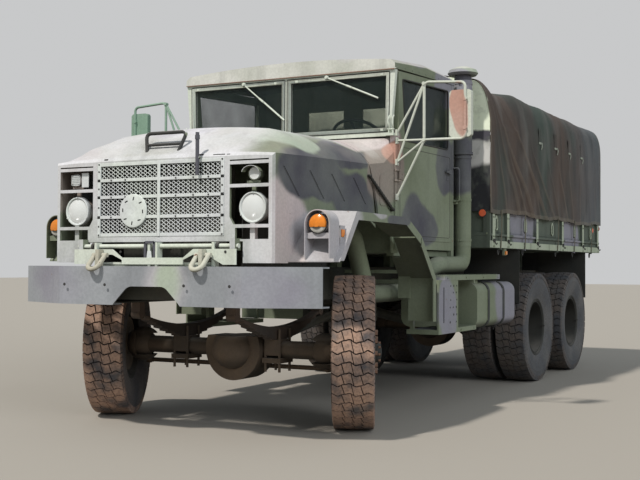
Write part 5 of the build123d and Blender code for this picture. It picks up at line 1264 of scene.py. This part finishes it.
print("stage: cab")
windscreen = {"face": 0.815, "glass": 0.8325, "inner": 0.040, "low": 2.232, "outerLow": 0.888, "outerHigh": 0.896,
              "high": 2.640, "margin": 0.027, "proud": 0.004, "seal": 0.005, "clips": (0.10, 0.86)}
doorWindow = [(1.013, 2.146), (0.947, 2.626), (1.949, 2.677), (1.951, 2.165)]
doorPanel = [(0.905, 1.398), (2.000, 1.398), (2.000, 2.10), (0.905, 2.09)]
wiperLines = [(-0.397, 2.660, -0.056, 2.377), (0.380, 2.660, 0.779, 2.489)]
wiperPivot = [(-0.004, 0), (-0.004, 0.011), (0.006, 0.017), (0.030, 0.017), (0.030, 0)]
seat = {"swell": 0.017, "shrink": 0.012, "voxel": 0.014, "frames": 18, "pressure": 4.0, "piping": 0.0045,
        "bevel": 0.028, "rim": 0.012, "held": 0.010, "corner": 0.04, "step": 0.03, "fill": 0.8}
seatPads = {"driverSeatPad": ((0.180, 0.700), (1.450, 1.885), (1.562, 1.680)),
            "driverBackPad": ((0.180, 0.700), (1.890, 2.006), (1.684, 2.230)),
            "benchSeatPad": ((-0.860, 0.060), (1.450, 1.885), (1.562, 1.680)),
            "benchBackPad": ((-0.860, 0.060), (1.890, 2.006), (1.684, 2.230))}


def paneCorners(grow, back):
    w = windscreen
    return [(w["inner"] - grow, back, w["low"] - grow), (w["outerLow"] + grow, back, w["low"] - grow),
            (w["outerHigh"] + grow, back, w["high"] + grow), (w["inner"] - grow, back, w["high"] + grow)]


def makeWindscreen():
    face, margin = windscreen["face"], windscreen["margin"]
    outer, inner = paneCorners(margin, face + 0.001), paneCorners(0.002, face + 0.001)
    frames = [slab([outer[i], outer[j], inner[j], inner[i]], (0, -windscreen["proud"] - 0.001, 0))
              for i, j in ((0, 1), (1, 2), (2, 3), (3, 0))]
    frames += [box((x - 0.012, x + 0.012), (face - 0.006, face + 0.001), (z - 0.009, z + 0.009))
               for z in (windscreen["high"] + 0.012, windscreen["low"] - 0.014) for x in windscreen["clips"]]
    makePiece("windscreenSeals", [ring(paneCorners(0.001, windscreen["glass"]), backwards, windscreen["seal"], 0.02)],
              "dark", slot="rubber", smooth=50)
    # A near-black line round the frame: painted shade in the gap.
    makePiece("windscreenGaps", [ring(paneCorners(margin + 0.004, face - 0.0005), backwards, 0.0035, 0.012)],
              "hollowShade", slot="rubber", smooth=50)
    makePiece("windscreenFrames", frames, "palePaint", smooth=30)
    blades, mounts = bmesh.new(), bmesh.new()
    for pivotX, pivotZ, tipX, tipZ in wiperLines:
        pivot, tip = place(pivotX, 0.812, pivotZ), place(tipX, 0.812, tipZ)
        middle = (pivot + tip) / 2
        end = tip + (tip - middle) * 0.25
        run = (end - middle).normalized()
        start, across = middle - run * 0.03, Vector((run.z, 0, -run.x)) * 0.0045
        addPrism(blades, [start - across, end - across, end + across, start + across], Vector((0, 0.0185, 0)))
        addLathe(mounts, wiperPivot, place(pivotX, 0.788, pivotZ), backwards, 20)
        hinge = middle - Vector((0, 0.012, 0))
        addTube(mounts, [hinge - run * 0.025, hinge + run * 0.025], 0.009)
    finishPiece("wiperBlades", blades, "rubber", smooth=30)
    finishPiece("wiperPivots", mounts, "palePaint")
    hooks = [box((0.905, 0.972), (0.776, 0.816), (2.166, 2.186))]
    hooks += [tube(0.006, 8, (x, 0.806, 2.186), (x, 0.806, 2.22), (x + 0.006, 0.790, 2.25), (x + 0.002, 0.788, 2.29),
                   (x + 0.012, 0.800, 2.325), steps=4) for x in (0.922, 0.958)]
    hooks.append(tube(0.007, 8, (0.912, 0.806, 2.218), (0.968, 0.806, 2.218)))
    makePiece("windscreenHooks", hooks, "palePaint")


def makeRoofTrim():
    edge = [(0.974, back, z) for back, z in ((0.806, 2.690), (2.094, 2.748), (2.094, 2.756), (0.806, 2.698))]
    makePiece("roofGutters", [slab(edge, (0.009, 0, 0))], "camo", smooth=30)
    makePiece("roofLipRust", [box((-0.970, 0.970), (0.7975, 0.806), (2.684, 2.6905))], "rustEdge", smooth=30,
              sides=(1,))
    spots = []
    for along in (step * 0.145 for step in range(9)):
        spots += spotsOn([0.9755], [0.86 + along], [2.713 + along * 0.045], outwards)
    addBolts("roofRivets", spots, "camo", (0.004, 0.003, 0.006))


def makeDoors():
    handle = [(0.930, 1.75, 1.86), (0.895, 1.76, 1.86), (0.895, 1.90, 1.86), (0.930, 1.91, 1.86)]
    parts = (("doorSeal", "dark", "rubber", 50, [ring([(0.9755, back, z) for back, z in doorWindow], outwards,
                                                      0.006, 0.03)]),
             ("doorLock", "camo", "camo_paint", 40, [
                 turned((0.9745, 1.953, 1.925), outwards, [(0, 0), (0, 0.014), (0.006, 0.012), (0.006, 0)], 18),
                 box((0.9745, 0.978), (1.915, 1.990), (1.895, 2.002))]),
             ("doorInside", "inside", "camo_paint", 40, [
                 tube(0.012, 10, (0.928, 1.30, 1.98), (0.900, 1.30, 1.98)),
                 tube(0.007, 10, (0.902, 1.30, 1.98), (0.896, 1.30, 1.90)),
                 tube(0.011, 10, (0.900, 1.30, 1.90), (0.872, 1.30, 1.90)),
                 tube(0.008, 10, *handle, steps=5),
                 box((0.929, 0.922), (1.02, 1.90), (1.42, 1.78))]),
             ("doorPanelLine", "dark", "camo_paint", 40, [ring([(0.9755, back, z) for back, z in doorPanel], outwards,
                                                               0.002, 0.03, 4)]))
    for side, word in hands:
        body = "door_" + word.lower()
        for name, finish, slot, smooth, shapes in parts:
            makePiece(name + word, shapes, finish, body, slot, smooth, (side,))
        spots = spotsOn([0.9215], (1.05, 1.33, 1.61, 1.87), (1.45, 1.75), (-1, 0, 0), (side,))
        spots += spotsOn([0.985], (0.930, 0.975), (1.426, 1.454, 1.846, 1.874), outwards, (side,))
        addBolts("doorBolts" + word, spots, "camo", (0.006, 0.004, 0.009), body)


def makeMirrors():
    outline = [(1.424, 0.8825, 2.147), (1.571, 0.8825, 2.147), (1.571, 0.8825, 2.475), (1.424, 0.8825, 2.475)]
    clamps = [tube(0.016, 10, (1.539, 0.816, z), (1.539, 0.838, z)) for z in (2.20, 2.42)]
    clamps += [tube(0.014, 10, (1.208, 0.812, z), (1.208, 0.848, z)) for z in (2.122, 2.556)]
    makePiece("mirrorGlasses", [slab(outline, (0, 0.0015, 0), 0.022)], "mirrorGlass", slot="glass", smooth=30)
    makePiece("mirrorRims", [ring(outline, backwards, 0.005, 0.022)], "dark", slot="rubber", smooth=50)
    makePiece("mirrorClamps", clamps, "mirrorPaint")
    zs = [z + step for z in (2.128, 2.190, 1.960, 1.690) for step in (-0.014, 0.014)]
    addBolts("mirrorBolts", spotsOn([0.9895], [0.830], zs, outwards), "mirrorPaint", (0.006, 0.005, 0.008))


def makeStackTrim():
    # Bands with their clamp blocks and the top screen of the intake pipe, and the bands of the exhaust silencer.
    x, back, alone = 1.02, 2.205, {"sides": (1,)}
    bands = []
    for z, size in ((1.385, 0.076), (1.74, 0.076), (2.115, 0.077), (2.44, 0.084), (2.775, 0.084)):
        bands.append(band((x, back, z), upwards, -0.010, 0.010, size - 0.004, size + 0.002, 48))
        bands.append(box((x - 0.012, x + 0.012), (back - size - 0.014, back - size + 0.004), (z - 0.009, z + 0.009)))
    makePiece("intakeBands", bands, "camo", **alone)
    makePiece("intakeScreen", [band((x, back, 0), upwards, 2.800, 2.842, 0.040, 0.076, 40)], "blackPaint", **alone)
    makePiece("silencerBands", [band((-x, back, z), upwards, -0.008, 0.008, 0.084, 0.0915, 40)
                                for z in (1.56, 1.72, 1.90, 2.08, 2.24)], "frame", slot="frame_paint", **alone)


def makeHoodStraps():
    # The ribbed rubber strap that holds each rear corner of the hood.
    ends = [(0.911, 0.484, 1.830), (0.974, 0.774, 1.588)]
    count = 26
    path = [Vector(ends[0]).lerp(Vector(ends[1]), i / count) for i in range(count + 1)]
    ribs = [0.014 if i % 2 else 0.010 for i in range(count + 1)]
    makePiece("hoodStraps", [tube(ribs, 10, *path)], "rubber", "hood", "rubber", 50)
    makePiece("hoodStrapEnds", [tube(0.012, 10, (x - 0.02, back, z), (x + 0.014, back, z)) for x, back, z in ends],
              "dark", "hood")


def makeCabInside():
    dials, rims = [], []
    lean, alone = (0, 0.991, 0.132), {"slot": "frame_paint", "sides": (1,)}
    for x, z, size in ((0.30, 2.060, 0.040), (0.40, 2.060, 0.040), (0.52, 2.060, 0.040), (0.62, 2.060, 0.040),
                       (0.34, 1.995, 0.026), (0.46, 1.995, 0.026), (0.58, 1.995, 0.026)):
        centre = (x, 1.010 - (z - 1.960) * 0.02 / 0.15, z)
        rims.append(band(centre, lean, -0.004, 0.006, size - 0.005, size, 28))
        dials.append(band(centre, lean, -0.002, 0.003, 0, size - 0.005, 28))
    knob = [(-0.022, 0), (-0.018, 0.016), (0, 0.024), (0.018, 0.016), (0.022, 0)]
    levers = [tube(0.011, 10, (0.10, 1.28, 1.282), (0.10, 1.30, 1.45), (0.12, 1.36, 1.72), steps=6),
              turned((0.12, 1.363, 1.735), upwards, knob, 18),
              tube(0.009, 10, (0.00, 1.30, 1.282), (0.00, 1.34, 1.40), (-0.01, 1.42, 1.56), steps=6)]
    makePiece("dialFaces", dials, "gauge", smooth=30, **alone)
    makePiece("dialRims", rims, "dark", smooth=30, **alone)
    makePiece("gearLevers", levers, "dark", **alone)


def fixMesh(pad):
    # Applies the pad's modifiers.
    shaped = bpy.data.meshes.new_from_object(pad.evaluated_get(bpy.context.evaluated_depsgraph_get()))
    pad.modifiers.clear()
    old, pad.data = pad.data, shaped
    bpy.data.meshes.remove(old)


def simulatePad(pad, bottom):
    # Pressure swells the pad; what it rests on is held, and no point moves further than the swell.
    remesh = pad.modifiers.new("remesh", "REMESH")
    remesh.mode = "VOXEL"
    remesh.voxel_size = seat["voxel"]
    fixMesh(pad)
    start = [v.co.copy() for v in pad.data.vertices]
    held = pad.vertex_groups.new(name="held")
    held.add([v.index for v in pad.data.vertices if bottom(v.co)], 1.0, "REPLACE")
    cloth = pad.modifiers.new("cloth", "CLOTH").settings
    cloth.use_pressure = True
    cloth.uniform_pressure_force = seat["pressure"]
    cloth.effector_weights.gravity = 0
    cloth.vertex_group_mass = "held"
    cloth.quality = 4
    for number in range(1, seat["frames"] + 1):
        scene.frame_set(number)
    fixMesh(pad)
    for v, origin in zip(pad.data.vertices, start):
        moved = v.co - origin
        if moved.length > seat["swell"]:
            v.co = origin + moved.normalized() * seat["swell"]
    smoother = pad.modifiers.new("smoother", "SUBSURF")
    smoother.levels = smoother.render_levels = 1
    fixMesh(pad)
    for face in pad.data.polygons:
        face.use_smooth = True


def makePads():
    inset = seat["shrink"]
    for name, ((x0, x1), (back0, back1), (z0, z1)) in seatPads.items():
        upright = name.endswith("BackPad")
        rear = back1 - (0 if upright else inset)
        foot = z0 + (inset if upright else 0)
        bm = bmesh.new()
        addBox(bm, (x0 + inset, x1 - inset), (back0 + inset, rear), (foot, z1 - inset))
        bmesh.ops.recalc_face_normals(bm, faces=bm.faces)
        bmesh.ops.bevel(bm, geom=bm.edges[:], offset=seat["bevel"], segments=3, affect="EDGES", profile=0.6)
        pad = finishPiece(name, bm, "seatCloth", "chassis", 180)
        limit = place(0, rear - seat["held"], foot + seat["held"])
        simulatePad(pad, (lambda co: co.y > limit.y) if upright else (lambda co: co.z < limit.z))
        pad.data.materials.clear()
        pad.data.materials.append(finishes["seatCloth"])
        if upright:
            normal, face = backwards, ((x0, z0), (x1, z0), (x1, z1), (x0, z1))
            corners = [(x, back0 + seat["rim"], z) for x, z in face]
        else:
            normal, face = upwards, ((x0, back0), (x1, back0), (x1, back1), (x0, back1))
            corners = [(x, back, z1 - seat["rim"]) for x, back in face]
        outline = roundedLoop(placeAll(corners, 1), seat["corner"], 5)
        loop = []
        for i, point in enumerate(outline):
            after = outline[(i + 1) % len(outline)]
            count = max(1, int((after - point).length / seat["step"]))
            loop += [pad.closest_point_on_mesh(point.lerp(after, k / count))[1] for k in range(count)]
        piping = bmesh.new()
        addLoop(piping, loop, Vector(normal), seat["piping"], 6)
        finishPiece(name + "Piping", piping, "dark", "chassis", 60)
        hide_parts("seat_cushions")


makeWindscreen()
makeRoofTrim()
makeDoors()
makeMirrors()
makeStackTrim()
makeHoodStraps()
makeCabInside()
makePads()

print("stage: bed, tank, wheels and rear")
bedRibs = (2.470, 2.890, 3.850, 4.830, 5.725, 6.465)
bedRings = (2.60, 3.50, 4.47, 5.41, 6.16)
bedHooks = (2.650, 3.400, 4.589, 5.300, 6.100)
bed = {"half": 1.218, "proud": 0.0025, "front": 2.360, "rear": 6.540, "rail": (1.324, 1.386), "panel": 1.190,
       "ribs": (1.392, 1.710), "hook": 1.205, "ring": 1.545, "ringWide": 0.030, "ringTall": 0.060, "ringSteps": 24}
tank = {"xs": (0.500, 1.213), "zs": (0.616, 1.012), "round": 0.09775, "straps": (2.330, 2.750), "width": 0.022,
        "lifts": (0.0005, 0.010), "cap": (1.120, 2.160)}
sideSteps = {"holes": (0.70, 0.76, 0.82, 0.88, 0.94, 0.995), "rows": (1.405, 1.475, 1.545), "bar": 0.007}
# Each grating is its first bar, the gap between bars, their number, and the x and z that they span
gratings = ((1.180, 0.028, 30, (0.945, 1.190), (0.6475, 0.6515)),
            (1.300, 0.0295, 46, (1.062, 1.196), (1.0815, 1.0850)))
wheelNuts = {"count": 10, "ring": 0.142, "size": (0.0185, 0.026, 0.024)}
hubBolts = {"count": 8, "turn": 0.2}
rimProfile = [(-0.006, 0.262), (0.004, 0.262), (0.009, 0.267), (0.005, 0.272), (0.010, 0.277), (0.011, 0.286),
              (0.004, 0.293), (-0.006, 0.293)]
flaps = (3.280, 5.885)
rivets = {"first": -0.80, "gap": 0.156, "count": 46}


def makeBedTrim():
    half, panel, wide = bed["half"], bed["panel"], bed["ringWide"]
    skin = (half - 0.002, half + bed["proud"])
    faces = [box(skin, (bed["front"] + 0.002, bed["rear"] - 0.004), bed["rail"])]
    clamps, hooks, rings, pressed = [], [], [], []
    for back in bedRibs:
        faces.append(box(skin, (back - 0.033, back + 0.033), bed["ribs"]))
        # A clamp with its hook at the foot of each rib.
        clamps.append(box((half, half + 0.012), (back - 0.022, back + 0.022), (1.372, 1.404)))
        hooks.append(tube(0.0045, 8, (half + 0.008, back + 0.012, 1.376), (half + 0.022, back + 0.012, 1.352),
                          (half + 0.030, back + 0.012, 1.366), steps=5))
    for back in bedRings:
        points = []
        for turn in (2 * pi * step / bed["ringSteps"] for step in range(bed["ringSteps"])):
            bulge = bed["ringTall"] - wide if sin(turn) >= 0 else wide - bed["ringTall"]
            points.append((panel + 0.010, back + wide * cos(turn), bed["ring"] + bulge + wide * sin(turn)))
        rings.append(ring(points, outwards, 0.0065))
        rings.append(box((panel, panel + 0.014), (back - 0.018, back + 0.018), (1.590, 1.618)))
    x = bed["hook"]
    hooks += [tube(0.006, 8, (x, back, 1.326), (x, back, 1.290), (x, back - 0.022, 1.262), (x, back - 0.040, 1.286),
                   (x, back - 0.034, 1.304), steps=5) for back in bedHooks]
    for first, second in zip(bedRibs, bedRibs[1:]):
        # Pressed ribs of each side panel.
        pressed += [box((panel, panel + 0.004), (first + 0.07, second - 0.07), (z - 0.006, z + 0.006))
                    for z in (1.472, 1.640)]
    makePiece("bedRailFaces", faces, "bedPale", smooth=30)
    makePiece("bedRings", rings, "bedPale", smooth=50)
    makePiece("bedHooks", hooks, "dark", slot="frame_paint", smooth=50)
    makePiece("bedClamps", clamps, "dark", slot="frame_paint", smooth=30)
    makePiece("bedPanelRibs", pressed, "bed", smooth=30)
    spots = spotsOn([half + bed["proud"]], [back + step for back in bedRibs for step in (-0.018, 0.018)],
                    (1.335, 1.425, 1.600), outwards)
    spots += spotsOn((0.30, 0.60, 0.90, 1.19), [bed["front"]], (1.45, 1.76), forwards)
    addBolts("bedBolts", spots, "camo", (0.006, 0.004, 0.009))


def makeBedLamps():
    front = (1.150, bed["front"], 1.632)
    discs = [turned(front, backwards, [(-0.010, 0), (-0.009, 0.030), (-0.002, 0.035), (0.001, 0.035), (0.001, 0)], 32),
             turned((1.190, 6.30, 1.590), outwards, [(0, 0), (0, 0.030), (0.008, 0.026), (0.009, 0)], 32)]
    makePiece("bedReflectors", discs, "reflex", slot="amber_lens", smooth=30)
    makePiece("bedReflectorRims", [band(front, backwards, -0.007, 0.001, 0.034, 0.040, 32)], "dark", slot="rubber")
    makePiece("bedMarkers", [box((1.200, 1.219), (2.826, 2.866), (1.264, 1.296))], "amber", slot="amber_lens",
              smooth=30)
    makePiece("bedMarkerShells", [box((1.186, 1.206), (2.816, 2.876), (1.258, 1.324))], "camo", smooth=30)
    lens = [(-0.001, 0.031), (0.004, 0.030), (0.008, 0.016), (0.009, 0), (-0.001, 0)]
    white, red = (0.742, 6.520, 1.240), (0.818, 6.520, 1.240)
    post = turned((1.19, 6.5405, 1.62), backwards, [(0, 0), (0, 0.034), (0.007, 0.030), (0.008, 0)], 32)
    makePiece("rearLensesRed", [turned(red, backwards, lens, 32), post], "red", slot="amber_lens", smooth=30)
    makePiece("rearLensesClear", [turned(white, backwards, lens, 32)], "frosted", slot="lamp_lens", smooth=30)
    makePiece("rearLensRims", [band(centre, backwards, -0.004, 0.005, 0.030, 0.036, 32) for centre in (white, red)],
              "dark", slot="rubber")


def makeTankTrim():
    straps, fittings = bmesh.new(), []
    (x0, x1), (z0, z1), width = tank["xs"], tank["zs"], tank["width"]
    near, far = tank["lifts"]
    for back in tank["straps"]:
        corners = placeAll([(x, back, z) for x, z in ((x0, z0), (x1, z0), (x1, z1), (x0, z1))], 1)
        path = roundedLoop(corners, tank["round"], 8)
        middle = sum(corners, Vector((0, 0, 0))) / 4
        rings = []
        for i, point in enumerate(path):
            ahead = (path[(i + 1) % len(path)] - path[i - 1]).normalized()
            out = ahead.cross(Vector(backwards)).normalized()
            if out.dot(point - middle) < 0:
                out = -out
            rings.append(addVerts(straps, [point + out * lift + Vector((0, wide, 0)) for lift, wide in
                                           ((near, -width), (far, -width), (far, width), (near, width))]))
        bridge(straps, rings + rings[:1])
        fittings += [tube(0.007, 8, (x, back, 0.572), (x, back, 0.612)) for x in (1.06, 1.12)]
        fittings.append(box((1.04, 1.14), (back - 0.022, back + 0.022), (0.594, 0.604)))
    x, back = tank["cap"]
    cap = [(1.034, 0), (1.034, 0.054), (1.050, 0.054), (1.056, 0.046), (1.056, 0)]
    fittings += [turned((x, back, 0), upwards, cap, 32),
                 tube(0.008, 8, (x - 0.040, back, 1.060), (x + 0.040, back, 1.060))]
    finishPiece("tankStraps", straps, "tankStrap", smooth=35)
    makePiece("tankFittings", fittings, "dark", smooth=35, sides=(1,))


def makeStepTrim():
    holes = []
    for i, z in enumerate(sideSteps["holes"]):
        for j, back in enumerate(sideSteps["rows"]):
            if (i + j) % 3 != 1 or j == 2:
                size = 0.0075 if (i * 3 + j) % 4 else 0.010
                holes.append(band((1.205, back + 0.012 * (i % 2), z), outwards, -0.001, 0.0012, 0, size, 12))
    holes.append(box((1.2045, 1.2062), (1.255, 1.270), (0.700, 0.985)))
    bars = [box(xs, (first + gap * k, first + gap * k + sideSteps["bar"]), zs)
            for first, gap, count, xs, zs in gratings for k in range(count)]
    # The step's holes and its slot are near-black discs and a strip on the plate: painted shade.
    makePiece("stepHoles", holes, "hollowShade", smooth=30)
    makePiece("stepBars", bars, "camo", smooth=30)
    spots = spotsOn([1.208], (1.34, 1.78, 2.22, 2.62), [1.061], outwards)
    spots += spotsOn([1.205], (1.66, 1.98), [0.630], outwards)
    addBolts("stepBolts", spots, "camo", (0.008, 0.006, 0.012))


def ringSpots(x, back, side, radius, count, turn=0.0):
    angles = [2 * pi * i / count + turn for i in range(count)]
    return [(place(side * x, back + radius * cos(angle), tyre["radius"] + radius * sin(angle)), (side, 0, 0))
            for angle in angles]


def wheelTrim(name, body, side, back, places, finish, hubRing, hubSize):
    # The split side ring of a rim, its nuts, and the bolts of its hub.
    face, nutFace, hubFace = places
    rim = turned((face, back, tyre["radius"]), outwards, rimProfile, 72, True)
    return [makePiece("rimRing" + name, [rim], "wheel", body, "rim_paint", 35, (side,)),
            addBolts("wheelNuts" + name, ringSpots(nutFace, back, side, wheelNuts["ring"], wheelNuts["count"]),
                     finish, wheelNuts["size"], body),
            addBolts("hubBolts" + name, ringSpots(hubFace, back, side, hubRing, hubBolts["count"], hubBolts["turn"]),
                     "hub", hubSize, body)]


def makeWheelTrim():
    z = tyre["radius"]
    for side, word in hands:
        for spot in ("Forward", "Rearward"):
            label = "_" + spot.lower() + "_" + word.lower()
            low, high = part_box("rims" + label)
            back = (low[1] + high[1]) / 2 - frontAxleY
            wheelTrim(spot + word, "wheels" + label, side, back, (1.194, 0.9315, 1.088), "wheel", 0.062,
                      (0.010, 0.008, 0.013))
            stem = [(1.180, back + 0.245, z), (1.205, back + 0.238, z), (1.225, back + 0.215, z)]
            makePiece("valve" + spot + word, [tube(0.005, 8, *stem, steps=4)], "dark", "wheels" + label,
                      "rim_paint", sides=(side,))
        for piece in wheelTrim("Front" + word, "wheel_front_" + word.lower(), side, 0, (1.105, 1.139, 1.172), "hub",
                               0.066, (0.009, 0.014, 0.012)):
            steerPiece(piece, side)


def makeSplashPanels():
    # Panels over the frame rails that close the engine bay from the front wheels.
    outline = [(0.600, back, z) for back, z in ((-0.825, 1.142), (0.380, 1.142), (0.380, 1.470), (-0.500, 1.500),
                                                (-0.825, 1.500))]
    makePiece("splashPanels", [slab(outline, (0.004, 0, 0)), box((0.432, 0.604), (-0.690, 0.380), (1.140, 1.144))],
              "dark", slot="frame_paint", smooth=30)
    addBolts("splashPanelBolts", spotsOn([0.604], (-0.6, -0.3, 0, 0.3), [1.165], outwards), "dark",
             (0.007, 0.005, 0.010))


def makeRearTrim():
    # Gate latch on each rear post.
    latches = [box((1.164, 1.212), (6.5385, 6.548), (1.640, 1.720)),
               tube(0.010, 10, (1.188, 6.548, 1.690), (1.188, 6.572, 1.690)),
               tube(0.008, 10, (1.150, 6.572, 1.690), (1.214, 6.572, 1.690))]
    makePiece("gateLatches", latches, "dark", slot="frame_paint")
    plates = [box(xs, (back + 0.0035, back + 0.0075), (low, 1.318)) for back in flaps
              for xs, low in (((0.650, 1.196), 1.268), ((0.436, 0.650), 1.105))]
    makePiece("flapBars", plates, "dark", slot="frame_paint", smooth=30)
    spots = spotsOn((0.70, 0.86, 1.02, 1.16), [back + 0.0075 for back in flaps], [1.293], backwards)
    addBolts("flapBolts", spots, "dark", (0.008, 0.005, 0.011))
    addBolts("hookBolts", spotsOn([0.065], [6.502], (0.950, 1.080), backwards), "dark", (0.014, 0.010, 0.018))
    backs = [rivets["first"] + rivets["gap"] * k for k in range(rivets["count"])]
    addBolts("frameRivets", spotsOn([0.432], backs, (0.925, 1.110), outwards), "frame", (0.008, 0.005, 0.011))


makeBedTrim()
makeBedLamps()
makeTankTrim()
makeStepTrim()
makeWheelTrim()
makeSplashPanels()
makeRearTrim()

print("stage: done")
